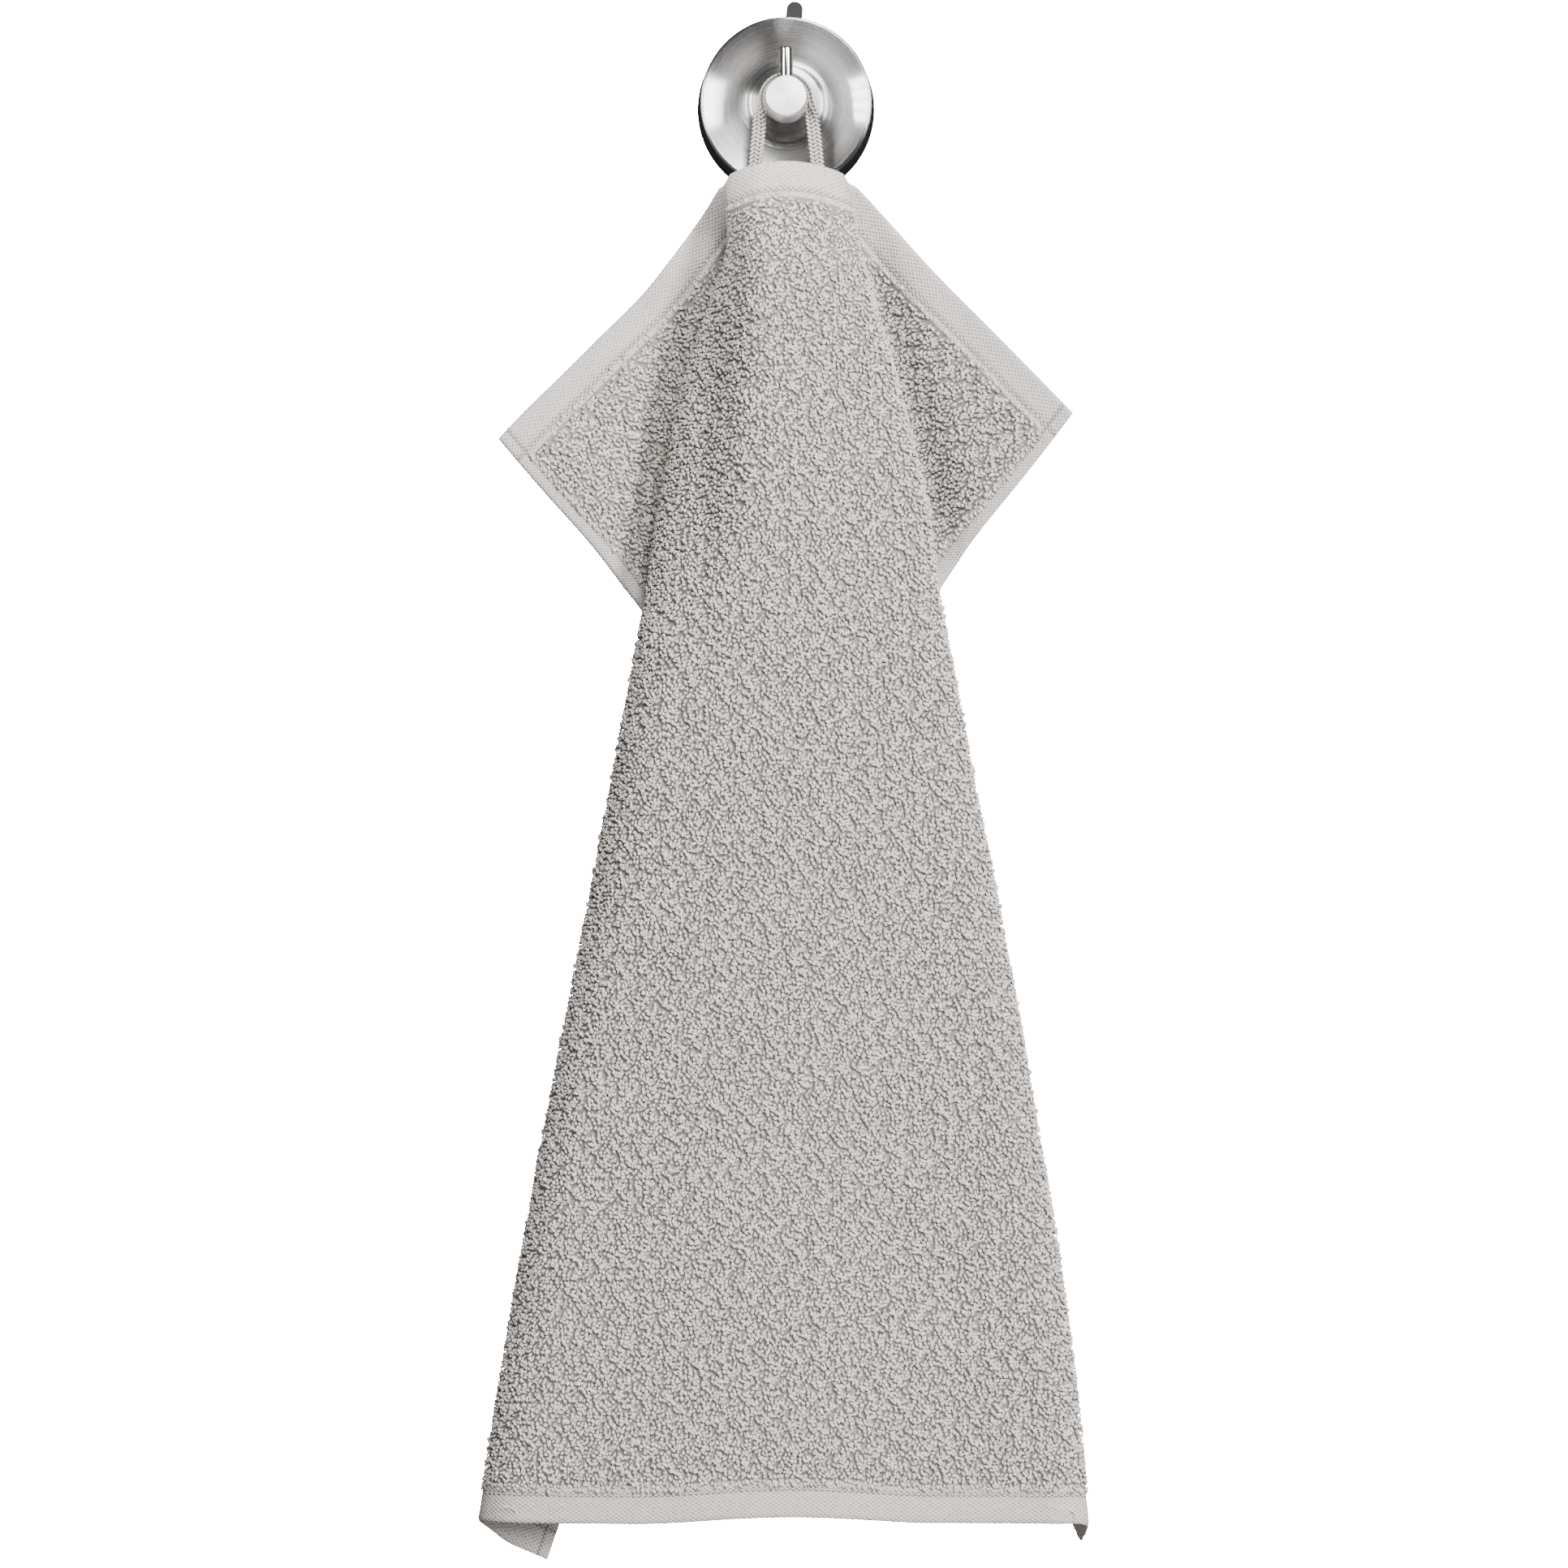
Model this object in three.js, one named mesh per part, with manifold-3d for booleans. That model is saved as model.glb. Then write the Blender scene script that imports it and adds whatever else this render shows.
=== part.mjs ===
// Guest towel hanging by its loop on a round steel suction hook.
// Millimetres, +Z up. The origin is the middle of the suction cup's flat rear face, which
// lies on the wall plane Y = 0. The hook stands out from the wall towards -Y.
import * as THREE from 'three';
import { mergeVertices } from 'three/addons/utils/BufferGeometryUtils.js';
import Module from 'manifold-3d';

const wasm = await Module();
wasm.setup();

const AIR = 0.3;

// Suction hook
const CUP_RADIUS = 33.2;
const CUP_FRONT_RADIUS = 31.4;
const CUP_LIP = 1.6;
const CUP_LIP_SLOPE = 1;
const CUP_WAIST = 6.6;
const CUP_WALL = 1.5;
const TAB_ROOT = 4;
const TAB_WIDTH = 6.2;
const TAB_REACH = 40.5;
const TAB_THICKNESS = 3;
const TAB_LIFT = 0.6;
const TAB_LEAN = 5;
const COVER_RADIUS = 31.8;
const COVER_FRONT = 24;
const COVER_SKIRT = 2.6;
const COVER_BEVEL = 0.7;
const COVER_STEEL = 1.6;
const GROOVE_OUTER = 17;
const GROOVE_FRONT = 18;
const BOSS_RADIUS = 14.4;
const BOSS_FRONT = 21;
const BOSS_DOME = 0.6;
const BOSS_EDGE = 1;
const BOSS_FOOT = 0.6;
const SKIRT_STEEL = 0.96;
const KNOB_RADIUS = 7.7;
const KNOB_FRONT = 43.3;
const KNOB_BEVEL = 0.5;
const NECK_STEP = 1.1;
const NECK_LENGTH = 0.7;
const PIN_RADIUS = 2.5;
const PIN_TOP = 18.6;
const PIN_FRONT = 38;
const PIN_SOCKET = 4;
const ROUND_STEPS = 72;

// Hanger loop, a flat knitted tape sewn behind the end hem at these distances down it
const TAPE_WIDTH = 5;
const TAPE_THICKNESS = 2.1;
const TAPE_FRONT = 30.4;
const TAPE_END_REACH = 12.3;
const TAPE_SEWN = [0.5, 4, 7.5, 11];
const TAPE_TURN = 0.45;
const TAPE_SIDES = 12;
const TAPE_OVAL = 0.7;
const ARC_STEPS = 14;
const STRAND_STEPS = 8;

// Towel: a 30 x 50 cm guest towel, as woven
const TOWEL_LENGTH = 497;
const END_HEM = 13.5;
const SIDE_HEM = 6;
const HEM_STEP = 1.5;
const HEM_HALF = 1.0;
const PILE_HALF = 2.2;
const PILE_PINCH = [15, 60];
const HEM_PINCH = 0.4;
const PINCH_WAY = 14;

// The cloth hangs from two shoulders, where the end hem bends down beside the loop. A point
// of the flat cloth is known by its distance from its shoulder and its angle from straight
// down, and folds run out from the shoulders like the ribs of a fan. The crest is the line
// straight down the front where the left and right halves of the drape meet.
const CREST_X = -8;
const SHOULDER_Z = -27.8;
const HEM_ARCH = 4.7;
const ARCH_FADE = 0.45;
const ARCH_HALF_WIDTH = 22.3;
const ARCH_SPREAD = 33;
const ARCH_SPREAD_WAY = 250;
const ARCH_POINT_WAY = 60;
const SHEAR = 0.16;
const SHEAR_REACH = 130;
const NEAR_BEND = 5.5;
const NEAR_SHARE = 0.085;
const NEAR_LEAST = 2.2;
const FAR_BEND = 8;
const FAR_SHARE = 0.115;
const FAR_LEAST = 1.6;
const DROP_WAY = 9;
const EDGE_TUCK_WAY = 30;
const HIDDEN_LEAST = 0.05;
const CORNER_ABOVE = 2;
const CORNER_BELOW = 30;

// The crest's depth in front of the wall, and how wide it is rounded off on each side
const CREST_ROWS = [
  { at: 0, depth: -34.5, soft: 3 },
  { at: 20, depth: -38.5, soft: 3 },
  { at: 45, depth: -45, soft: 4 },
  { at: 80, depth: -51, soft: 6 },
  { at: 125, depth: -54.5, soft: 10 },
  { at: 163, depth: -54.5, soft: 15 },
  { at: 220, depth: -52, soft: 22 },
  { at: 300, depth: -47.5, soft: 28 },
  { at: 400, depth: -44, soft: 32 },
  { at: 520, depth: -42, soft: 34 },
];

// Columns, by distance from the shoulder: hem, the angle at which the end hem hangs; edge, the
// angle of the body's outer fold; lean, mid and roll, how far the front turns back at the
// crest, before the edge band and at the fold; turn, how far the fold turns; inner, how far
// inside the shoulder the hidden fold lies; wing, how far the wing turns back; band, the
// width of the edge band; gather, how much of its flat width the hidden cloth keeps; drop,
// how far the hidden cloth stretches down.
const FOLD_COLUMNS = 'at hem edge lean mid roll turn inner wing band gather drop';
const LEFT = {
  side: -1,
  shoulder: -22.3,
  reach: 128.5,
  rows: table(FOLD_COLUMNS, [
    [0, 33, 0, 18, 32, 48, 84, 0, 6, 6, 1, 0],
    [20, 34.8, 1, 23, 32, 46, 100, 0, 3, 6, 1, 0],
    [45, 36, 8, 23, 31, 50, 165, -1, 0, 8, 1, 0],
    [80, 39.2, 12.2, 20, 28, 55, 180, -6, -5, 11, 1, 0],
    [128.5, 41, 11.5, 14, 22, 56, 180, -12, -6, 14, 1, 0],
    [163, 41, 10.9, 10, 16, 56, 180, -13, -4, 16, 0.89, 0],
    [220, 41, 10.9, 7, 11, 56, 180, -13, 0, 18, 0.95, 0],
    [300, 41, 10.95, 5, 9, 55, 180, -13, 0, 18, 1, 0],
    [400, 41, 10.85, 4, 7, 52, 180, -13, 0, 18, 1, 0],
    [520, 41, 10.6, 2, 6, 50, 174, -13, 0, 18, 0.9, 4.5],
  ]),
};
const RIGHT = {
  side: 1,
  shoulder: 21.6,
  reach: 122,
  rows: table(FOLD_COLUMNS, [
    [0, 52, 13, 3, 12, 40, 84, 0, -4, 6, 1, 0],
    [20, 47, 14.3, 3, 10, 38, 100, 0, -5, 6, 1, 0],
    [45, 44.2, 14.6, 3, 8, 34, 150, 3, -6, 5, 1, 0],
    [80, 43.9, 15, 3, 8, 34, 176, 2, -8, 6, 1, 0],
    [122, 43.7, 14.5, 5, 8, 34, 180, -3.5, -9, 7, 1, 0],
    [150, 43.7, 13.2, 6, 6, 36, 180, -8, -8, 8, 0.97, 0],
    [220, 43.7, 12.4, 7, 3, 38, 180, -8.5, -4, 10, 1, 0],
    [300, 43.7, 11.95, 8, -2, 40, 180, -8.5, 0, 12, 1, 0],
    [400, 43.7, 11.4, 8, -5, 42, 165, -8.5, 0, 13, 1, 0],
    [520, 43.7, 10.3, 7, -8, 40, 86, -8.5, 0, 13, 0.92, 4],
  ]),
};

// Rows of the cloth's net, by distance below the shoulders
const NET_ROWS = [
  0, 4, 7, 10, 13.5, 15, 17.5, 20.5, 24, 27, 30, 33.5, 37, 41, 45, 54, 64, 76, 90, 104, 114, 122,
  128.5, 134, 142, 152, 163, 178, 196, 218, 240, 256, 272, 286, 302, 318, 336, 366, 398, 428, 456,
  474, 482, 483.5, 490, 497,
];
const LEVEL_FROM = 330;
const NET_STEPS = 21;
const HEM_STEPS = 6;
const NET_PITCH = 14;
const NET_TURN = THREE.MathUtils.degToRad(26);

// Rows of numbers as objects with named columns
function table(columns, rows) {
  const names = columns.split(' ');
  return rows.map((row) => Object.fromEntries(names.map((name, i) => [name, row[i]])));
}

function smoothStep(from, to, x) {
  const t = THREE.MathUtils.clamp((x - from) / (to - from), 0, 1);
  return t * t * (3 - 2 * t);
}

// A smooth value of one column at a distance, with no overshoot between the rows
function column(rows, name, at) {
  const last = rows.length - 1;
  const x = THREE.MathUtils.clamp(at, rows[0].at, rows[last].at);
  const slope = (i) => (rows[i + 1][name] - rows[i][name]) / (rows[i + 1].at - rows[i].at);
  const tangent = (i) => {
    if (i === 0) return slope(0);
    if (i === last) return slope(last - 1);
    const before = slope(i - 1);
    const after = slope(i);
    return before * after > 0 ? (2 * before * after) / (before + after) : 0;
  };
  let i = 0;
  while (i < last - 1 && x >= rows[i + 1].at) i += 1;
  const span = rows[i + 1].at - rows[i].at;
  const t = (x - rows[i].at) / span;
  const a = rows[i][name] * (1 + 2 * t) * (1 - t) ** 2 + rows[i + 1][name] * t * t * (3 - 2 * t);
  const b = tangent(i) * t * (1 - t) ** 2 + tangent(i + 1) * t * t * (t - 1);
  return a + b * span;
}

// Mean cosine and sine of a heading that turns evenly from one angle to another
function evenTurn(from, to) {
  const by = to - from;
  if (Math.abs(by) < 1e-4) return { cos: Math.cos(from), sin: Math.sin(from) };
  return { cos: (Math.sin(to) - Math.sin(from)) / by, sin: (Math.cos(from) - Math.cos(to)) / by };
}

// How far the bias of the cloth lets a selvedge swing out, by distance from the end hem
function sag(down) {
  return SHEAR * down * Math.exp(-((down / SHEAR_REACH) ** 2));
}

// Angle, from straight down, at which the sheet ends: at the end hem or at the selvedge
function lastAngle(half, distance) {
  if (distance <= half.reach) return Math.PI / 2;
  let angle = Math.asin(half.reach / distance);
  for (let i = 0; i < 30; i += 1) {
    const out = half.reach + sag(distance * Math.cos(angle));
    angle = (angle + Math.asin(Math.min(1, out / distance))) / 2;
  }
  return angle;
}

function crestWidth(half) {
  return Math.abs(half.shoulder - CREST_X);
}

// One level section of half the drape, as legs walked from the crest outwards. Each leg has a
// length and the headings at its ends: 0 goes outwards, 90 back to the wall, 180 inwards.
function section(half, distance) {
  const at = (name) => column(half.rows, name, distance);
  const rad = (name) => THREE.MathUtils.degToRad(at(name));
  const width = crestWidth(half);
  const near = Math.min(NEAR_BEND, NEAR_SHARE * distance + NEAR_LEAST);
  const far = Math.min(FAR_BEND, FAR_SHARE * distance + FAR_LEAST);
  const [lean, mid, roll, turn, wing] = ['lean', 'mid', 'roll', 'turn', 'wing'].map(rad);
  const band = at('band');
  const edge = distance * rad('edge') - PILE_HALF * smoothStep(0, EDGE_TUCK_WAY, distance);
  const soft = column(CREST_ROWS, 'soft', distance);
  const bent = soft * evenTurn(0, lean).cos + band * evenTurn(mid, roll).cos;
  const front = (edge - near * (1 - Math.sin(roll)) + width - bent) / evenTurn(lean, mid).cos;
  const foldEnd = edge - near * (1 - Math.sin(turn));
  const walked = soft + front + band + near * (turn - roll);

  // The hidden leg is as long as leaves the end hem hanging at its angle
  const hidden = (length, reach) => {
    const rest = length - walked - far * (turn - wing);
    const hem = reach * rad('hem');
    const start = foldEnd + far * (Math.sin(turn) - Math.sin(wing));
    const leg = (start + rest * Math.cos(wing) - hem) / (Math.cos(wing) - Math.cos(turn));
    return Math.max(leg, HIDDEN_LEAST * distance);
  };
  const byHem = hidden(width + (distance * Math.PI) / 2, distance);
  const byFold = Math.max((foldEnd - at('inner')) / Math.max(-Math.cos(turn), 0.3), 1);
  const below = smoothStep(half.reach - CORNER_ABOVE, half.reach + CORNER_BELOW, distance);
  const leg = byHem + (byFold - byHem) * below;

  const legs = [
    { length: soft, from: 0, to: lean },
    { length: front, from: lean, to: mid },
    { length: band, from: mid, to: roll },
    { length: near * (turn - roll), from: roll, to: turn },
    { length: leg, from: turn, to: turn },
    { length: far * (turn - wing), from: turn, to: wing },
    { length: Infinity, from: wing, to: wing },
  ];
  return { legs, walked, gather: distance > half.reach ? at('gather') : 1, drop: at('drop') };
}

// Sideways place, depth and drop of a point that lies a walked way from the crest
function walk(half, way, distance) {
  const { legs, walked, gather, drop } = section(half, distance);
  let left = way > walked ? walked + (way - walked) * gather : way;
  let across = -crestWidth(half);
  let depth = column(CREST_ROWS, 'depth', distance);
  for (const leg of legs) {
    const part = Math.min(left, leg.length);
    const share = Number.isFinite(leg.length) ? part / Math.max(leg.length, 1e-6) : 0;
    const mean = evenTurn(leg.from, leg.from + (leg.to - leg.from) * share);
    across += part * mean.cos;
    depth += part * mean.sin;
    left -= part;
    if (left <= 0) break;
  }
  return { across, depth, drop: drop * smoothStep(walked - DROP_WAY, walked + DROP_WAY, way) };
}

// The loop lifts the hem between the shoulders, and the lift spreads and fades further down
function lift(x, distance) {
  const halfWidth = ARCH_HALF_WIDTH + ARCH_SPREAD * smoothStep(0, ARCH_SPREAD_WAY, distance);
  const bump = Math.max(0, 1 - (x / halfWidth) ** 2) ** (1 + smoothStep(0, ARCH_POINT_WAY, distance));
  return HEM_ARCH * bump * (1 - (ARCH_FADE * distance) / TOWEL_LENGTH);
}

function hang(half, way, distance) {
  const { across, depth, drop } = walk(half, way, distance);
  const angle = distance > 0 ? Math.max(across, 0) / distance : 0;
  const x = half.shoulder + half.side * (across > 0 ? distance * Math.sin(angle) : across);
  const z = SHOULDER_Z - distance * Math.cos(angle) + lift(x, distance) - drop;
  return new THREE.Vector3(x, depth, z);
}

// Way walked to the inner line of the hem on a row: the end hem's, then the side hem's
function hemWay(half, distance) {
  const width = crestWidth(half);
  const byEnd = Math.acos(Math.min(1, END_HEM / Math.max(distance, 1e-6)));
  const inside = half.reach - SIDE_HEM;
  let bySide = Math.PI / 2;
  if (distance > inside) {
    bySide = Math.asin(inside / distance);
    for (let i = 0; i < 20; i += 1) {
      const out = inside + sag(distance * Math.cos(bySide));
      bySide = (bySide + Math.asin(Math.min(1, out / distance))) / 2;
    }
  }
  return width + distance * Math.min(byEnd, bySide);
}

// Shares of a stretch of a section's way, closer together where the cloth bends
function netShares(half, distance, from, to, steps) {
  const { legs } = section(half, distance);
  const fine = 240;
  const load = [0];
  for (let i = 1; i <= fine; i += 1) {
    const way = from + ((to - from) * (i - 0.5)) / fine;
    let start = 0;
    const leg = legs.find((l) => {
      start += l.length;
      return way <= start;
    });
    const turn = Math.abs(leg.to - leg.from);
    const bend = Number.isFinite(leg.length) ? turn / Math.max(leg.length, 1e-6) : 0;
    load.push(load[i - 1] + 1 / NET_PITCH + bend / NET_TURN);
  }
  const shares = [];
  let i = 0;
  for (let k = 0; k <= steps; k += 1) {
    const want = (load[fine] * k) / steps;
    while (i < fine - 1 && load[i + 1] < want) i += 1;
    shares.push((i + (want - load[i]) / (load[i + 1] - load[i])) / fine);
  }
  return shares;
}

// Half the thickness of the cloth, thinner in its hems and where the shoulders pinch it
function halfThickness(half, way, distance) {
  const angle = Math.max(0, (way - crestWidth(half)) / Math.max(distance, 1e-6));
  const down = distance * Math.cos(angle);
  const out = (distance * Math.sin(angle)) / (1 + sag(down) / half.reach);
  const inEnd = smoothStep(END_HEM, END_HEM + HEM_STEP, down);
  const inFoot = smoothStep(END_HEM, END_HEM + HEM_STEP, TOWEL_LENGTH - down);
  const inSide = smoothStep(SIDE_HEM, SIDE_HEM + HEM_STEP, half.reach - out);
  const atFold = smoothStep(-PINCH_WAY, 0, way - crestWidth(half));
  const pile = Math.min(inEnd, inFoot, inSide) * (1 - atFold * (1 - smoothStep(...PILE_PINCH, distance)));
  const hem = 1 - HEM_PINCH * atFold * (1 - smoothStep(0, END_HEM, distance));
  return HEM_HALF * hem + (PILE_HALF - HEM_HALF) * pile;
}

// The points of one half's net on a row, from the crest out to the hem's edge. Low rows turn
// from arcs about the shoulder into level lines, so that the last one is the foot of the towel.
function netRow(half, level) {
  const flatten = smoothStep(LEVEL_FROM, TOWEL_LENGTH - 2 * END_HEM, level);
  const width = crestWidth(half);
  const settle = (wayAt) => {
    let distance = level;
    for (let i = 0; i < 8; i += 1) {
      const angle = Math.max(0, (wayAt(distance) - width) / Math.max(distance, 1e-6));
      distance = level * (1 + flatten * (1 / Math.cos(Math.min(angle, 0.6)) - 1));
    }
    return { way: wayAt(distance), distance };
  };
  const edgeWay = (d) => width + d * lastAngle(half, d);
  const stepWay = (d) => hemWay(half, d) + Math.min(HEM_STEP, 0.3 * (edgeWay(d) - hemWay(half, d)));
  const inner = netShares(half, level, 0, hemWay(half, level), NET_STEPS);
  const outer = netShares(half, level, stepWay(level), edgeWay(level), HEM_STEPS);
  const points = [
    ...inner.map((share) => settle((d) => hemWay(half, d) * share)),
    ...outer.map((share) => settle((d) => THREE.MathUtils.lerp(stepWay(d), edgeWay(d), share))),
  ];
  return points.map(({ way, distance }) => ({
    place: hang(half, way, distance),
    half: halfThickness(half, way, distance),
  }));
}

// A closed body from a net of points: its front, its back and a rim round the open edge
function thickSheet(rows) {
  const places = [];
  const halves = [];
  const seen = new Map();
  const index = rows.map((row) => row.map(({ place, half }) => {
    const key = place.toArray().map((c) => Math.round(c * 1000)).join(' ');
    if (!seen.has(key)) {
      seen.set(key, places.length);
      places.push(place);
      halves.push(half);
    }
    return seen.get(key);
  }));
  const faces = [];
  const addFace = (a, b, c) => {
    if (a !== b && b !== c && c !== a) faces.push([a, b, c]);
  };
  for (let r = 0; r + 1 < index.length; r += 1) {
    for (let k = 0; k + 1 < index[r].length; k += 1) {
      const [a, b, c, d] = [index[r][k], index[r][k + 1], index[r + 1][k + 1], index[r + 1][k]];
      const even = places[a].distanceTo(places[c]) <= places[b].distanceTo(places[d]);
      if (even) {
        addFace(a, c, b);
        addFace(a, d, c);
      } else {
        addFace(a, d, b);
        addFace(b, d, c);
      }
    }
  }

  const normals = places.map(() => new THREE.Vector3());
  for (const [a, b, c] of faces) {
    const ab = places[b].clone().sub(places[a]);
    const ac = places[c].clone().sub(places[a]);
    const normal = ab.cross(ac);
    [a, b, c].forEach((i) => normals[i].add(normal));
  }
  const count = places.length;
  const positions = [];
  for (const way of [1, -1]) {
    places.forEach((place, i) => {
      positions.push(...place.clone().addScaledVector(normals[i].normalize(), way * halves[i]).toArray());
    });
  }
  const triangles = [];
  const open = new Set();
  for (const [a, b, c] of faces) {
    triangles.push(a, b, c, a + count, c + count, b + count);
    for (const [from, to] of [[a, b], [b, c], [c, a]]) {
      if (!open.delete(`${to} ${from}`)) open.add(`${from} ${to}`);
    }
  }
  for (const edge of open) {
    const [from, to] = edge.split(' ').map(Number);
    triangles.push(to, from, from + count, to, from + count, to + count);
  }
  const geometry = new THREE.BufferGeometry();
  geometry.setAttribute('position', new THREE.Float32BufferAttribute(positions, 3));
  geometry.setIndex(triangles);
  return geometry;
}

function towelGeometry() {
  const rows = NET_ROWS.map((level) => {
    const left = netRow(LEFT, level).reverse();
    const right = netRow(RIGHT, level);
    return [...left, ...right.slice(1)];
  });
  return thickSheet(rows);
}

// A closed body with its shared points joined and its faces pointing out
function welded(geometry) {
  geometry.deleteAttribute('normal');
  geometry.deleteAttribute('uv');
  const joined = mergeVertices(geometry, 1e-4);
  const place = joined.getAttribute('position');
  const faces = [];
  for (let i = 0; i < joined.index.count; i += 3) {
    const [a, b, c] = [0, 1, 2].map((k) => joined.index.getX(i + k));
    if (a !== b && b !== c && c !== a) faces.push([a, b, c]);
  }
  const point = (i) => new THREE.Vector3().fromBufferAttribute(place, i);
  const volume = faces.reduce((sum, [a, b, c]) => sum + point(a).dot(point(b).cross(point(c))), 0);
  joined.setIndex(faces.flatMap(([a, b, c]) => (volume > 0 ? [a, b, c] : [a, c, b])));
  return joined;
}

function toSolid(geometry) {
  const body = welded(geometry);
  const vertProperties = new Float32Array(body.getAttribute('position').array);
  const triVerts = new Uint32Array(body.index.array);
  return new wasm.Manifold(new wasm.Mesh({ numProp: 3, vertProperties, triVerts }));
}

function toGeometry(solid) {
  const mesh = solid.getMesh();
  const geometry = new THREE.BufferGeometry();
  geometry.setAttribute('position', new THREE.BufferAttribute(new Float32Array(mesh.vertProperties), 3));
  geometry.setIndex(new THREE.BufferAttribute(new Uint32Array(mesh.triVerts), 1));
  return geometry;
}

// A solid turned about the hook's axis. The profile gives radius and distance from the wall.
function turned(profile, steps = ROUND_STEPS) {
  const points = profile.map(([radius, front]) => new THREE.Vector2(radius, front));
  return welded(new THREE.LatheGeometry(points, steps).rotateX(Math.PI));
}

// The back of the dished cover follows its front at the thickness of the steel
const DISH_SLOPE = (COVER_FRONT - GROOVE_FRONT) / (COVER_RADIUS - GROOVE_OUTER);

function coverGeometry() {
  const rim = COVER_RADIUS - COVER_BEVEL;
  const skirtInside = COVER_RADIUS - SKIRT_STEEL;
  const back = (radius) => GROOVE_FRONT - COVER_STEEL + (radius - GROOVE_OUTER) * DISH_SLOPE;
  return turned([
    [0, BOSS_FRONT + BOSS_DOME],
    [BOSS_RADIUS * 0.6, BOSS_FRONT + BOSS_DOME * 0.6],
    [BOSS_RADIUS - BOSS_EDGE, BOSS_FRONT],
    [BOSS_RADIUS - BOSS_EDGE * 0.3, BOSS_FRONT - BOSS_EDGE * 0.3],
    [BOSS_RADIUS, BOSS_FRONT - BOSS_EDGE],
    [BOSS_RADIUS, GROOVE_FRONT + BOSS_FOOT],
    [BOSS_RADIUS + BOSS_FOOT, GROOVE_FRONT],
    [GROOVE_OUTER - BOSS_FOOT / 2, GROOVE_FRONT],
    [GROOVE_OUTER, GROOVE_FRONT + BOSS_FOOT / 2],
    [rim, COVER_FRONT],
    [COVER_RADIUS, COVER_FRONT - COVER_BEVEL],
    [COVER_RADIUS, COVER_FRONT - COVER_SKIRT],
    [skirtInside, COVER_FRONT - COVER_SKIRT],
    [skirtInside, back(skirtInside)],
    [GROOVE_OUTER, back(GROOVE_OUTER)],
    [BOSS_RADIUS - BOSS_EDGE, back(GROOVE_OUTER)],
    [BOSS_RADIUS - COVER_STEEL, BOSS_FRONT - COVER_STEEL],
    [0, BOSS_FRONT - COVER_STEEL],
  ]);
}

// The moulded rubber cup, pressed flat on the wall, with the tab that peels it off
function suctionCupGeometry() {
  const seat = (radius) => GROOVE_FRONT - COVER_STEEL - 2 * AIR + (radius - GROOVE_OUTER) * DISH_SLOPE;
  const inside = CUP_FRONT_RADIUS - CUP_WALL;
  const cup = turned([
    [0, 0],
    [CUP_RADIUS, 0],
    [CUP_RADIUS, CUP_LIP],
    [CUP_RADIUS - CUP_LIP_SLOPE, 2 * CUP_LIP],
    [CUP_FRONT_RADIUS, CUP_WAIST],
    [CUP_FRONT_RADIUS, COVER_FRONT - COVER_SKIRT - AIR],
    [inside, COVER_FRONT - COVER_SKIRT - AIR],
    [inside, seat(inside)],
    [GROOVE_OUTER, seat(GROOVE_OUTER)],
    [0, seat(GROOVE_OUTER)],
  ]);
  const half = TAB_WIDTH / 2;
  const outline = new THREE.Shape();
  outline.moveTo(-half, CUP_FRONT_RADIUS - TAB_ROOT);
  outline.lineTo(half, CUP_FRONT_RADIUS - TAB_ROOT);
  outline.lineTo(half, TAB_REACH - half);
  outline.absarc(0, TAB_REACH - half, half, 0, Math.PI, false);
  const thickness = { depth: TAB_THICKNESS, bevelEnabled: false, curveSegments: 10 };
  const tab = new THREE.ExtrudeGeometry(outline, thickness);
  tab.rotateX(Math.PI / 2).translate(0, -TAB_LIFT, 0);
  tab.rotateY(THREE.MathUtils.degToRad(TAB_LEAN));
  return toGeometry(toSolid(cup).add(toSolid(tab)));
}

function pinGeometry() {
  const foot = KNOB_RADIUS - PIN_SOCKET + AIR;
  const pin = new THREE.LatheGeometry(
    [
      [0, foot],
      [PIN_RADIUS, foot],
      [PIN_RADIUS, PIN_TOP - KNOB_BEVEL],
      [PIN_RADIUS - KNOB_BEVEL, PIN_TOP],
      [0, PIN_TOP],
    ].map(([radius, up]) => new THREE.Vector2(radius, up)),
    ROUND_STEPS / 2,
  );
  return welded(pin.rotateX(Math.PI / 2).translate(0, -PIN_FRONT, 0));
}

// The knob stands on a short neck and has a socket in its top for the pin
function knobGeometry() {
  const foot = BOSS_FRONT + BOSS_DOME + AIR;
  const knob = turned([
    [0, foot],
    [KNOB_RADIUS - NECK_STEP, foot],
    [KNOB_RADIUS - NECK_STEP, foot + NECK_LENGTH],
    [KNOB_RADIUS, foot + NECK_LENGTH],
    [KNOB_RADIUS, KNOB_FRONT - KNOB_BEVEL],
    [KNOB_RADIUS - KNOB_BEVEL, KNOB_FRONT],
    [0, KNOB_FRONT],
  ]);
  const bore = PIN_RADIUS + AIR;
  const socket = new THREE.CylinderGeometry(bore, bore, 2 * PIN_SOCKET, ROUND_STEPS / 2);
  socket.rotateX(Math.PI / 2).translate(0, -PIN_FRONT, KNOB_RADIUS);
  return toGeometry(toSolid(knob).subtract(toSolid(socket)));
}

// A point behind the end hem where the tape is sewn on, with the way across the tape
function behindHem(half, distance) {
  const side = half.side * TAPE_END_REACH;
  const lean = THREE.MathUtils.degToRad(column(half.rows, 'lean', distance));
  const way = Math.abs(side - CREST_X) / Math.cos(lean);
  const place = hang(half, way, distance);
  const across = hang(half, way + 1, distance).sub(place).normalize();
  const down = hang(half, way, distance + 1).sub(place).normalize();
  const back = down.cross(across).normalize();
  if (back.y < 0) back.negate();
  return {
    place: place.addScaledVector(back, HEM_HALF + 1.5 * AIR + TAPE_THICKNESS / 2),
    across: across.multiplyScalar(half.side),
  };
}

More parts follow.
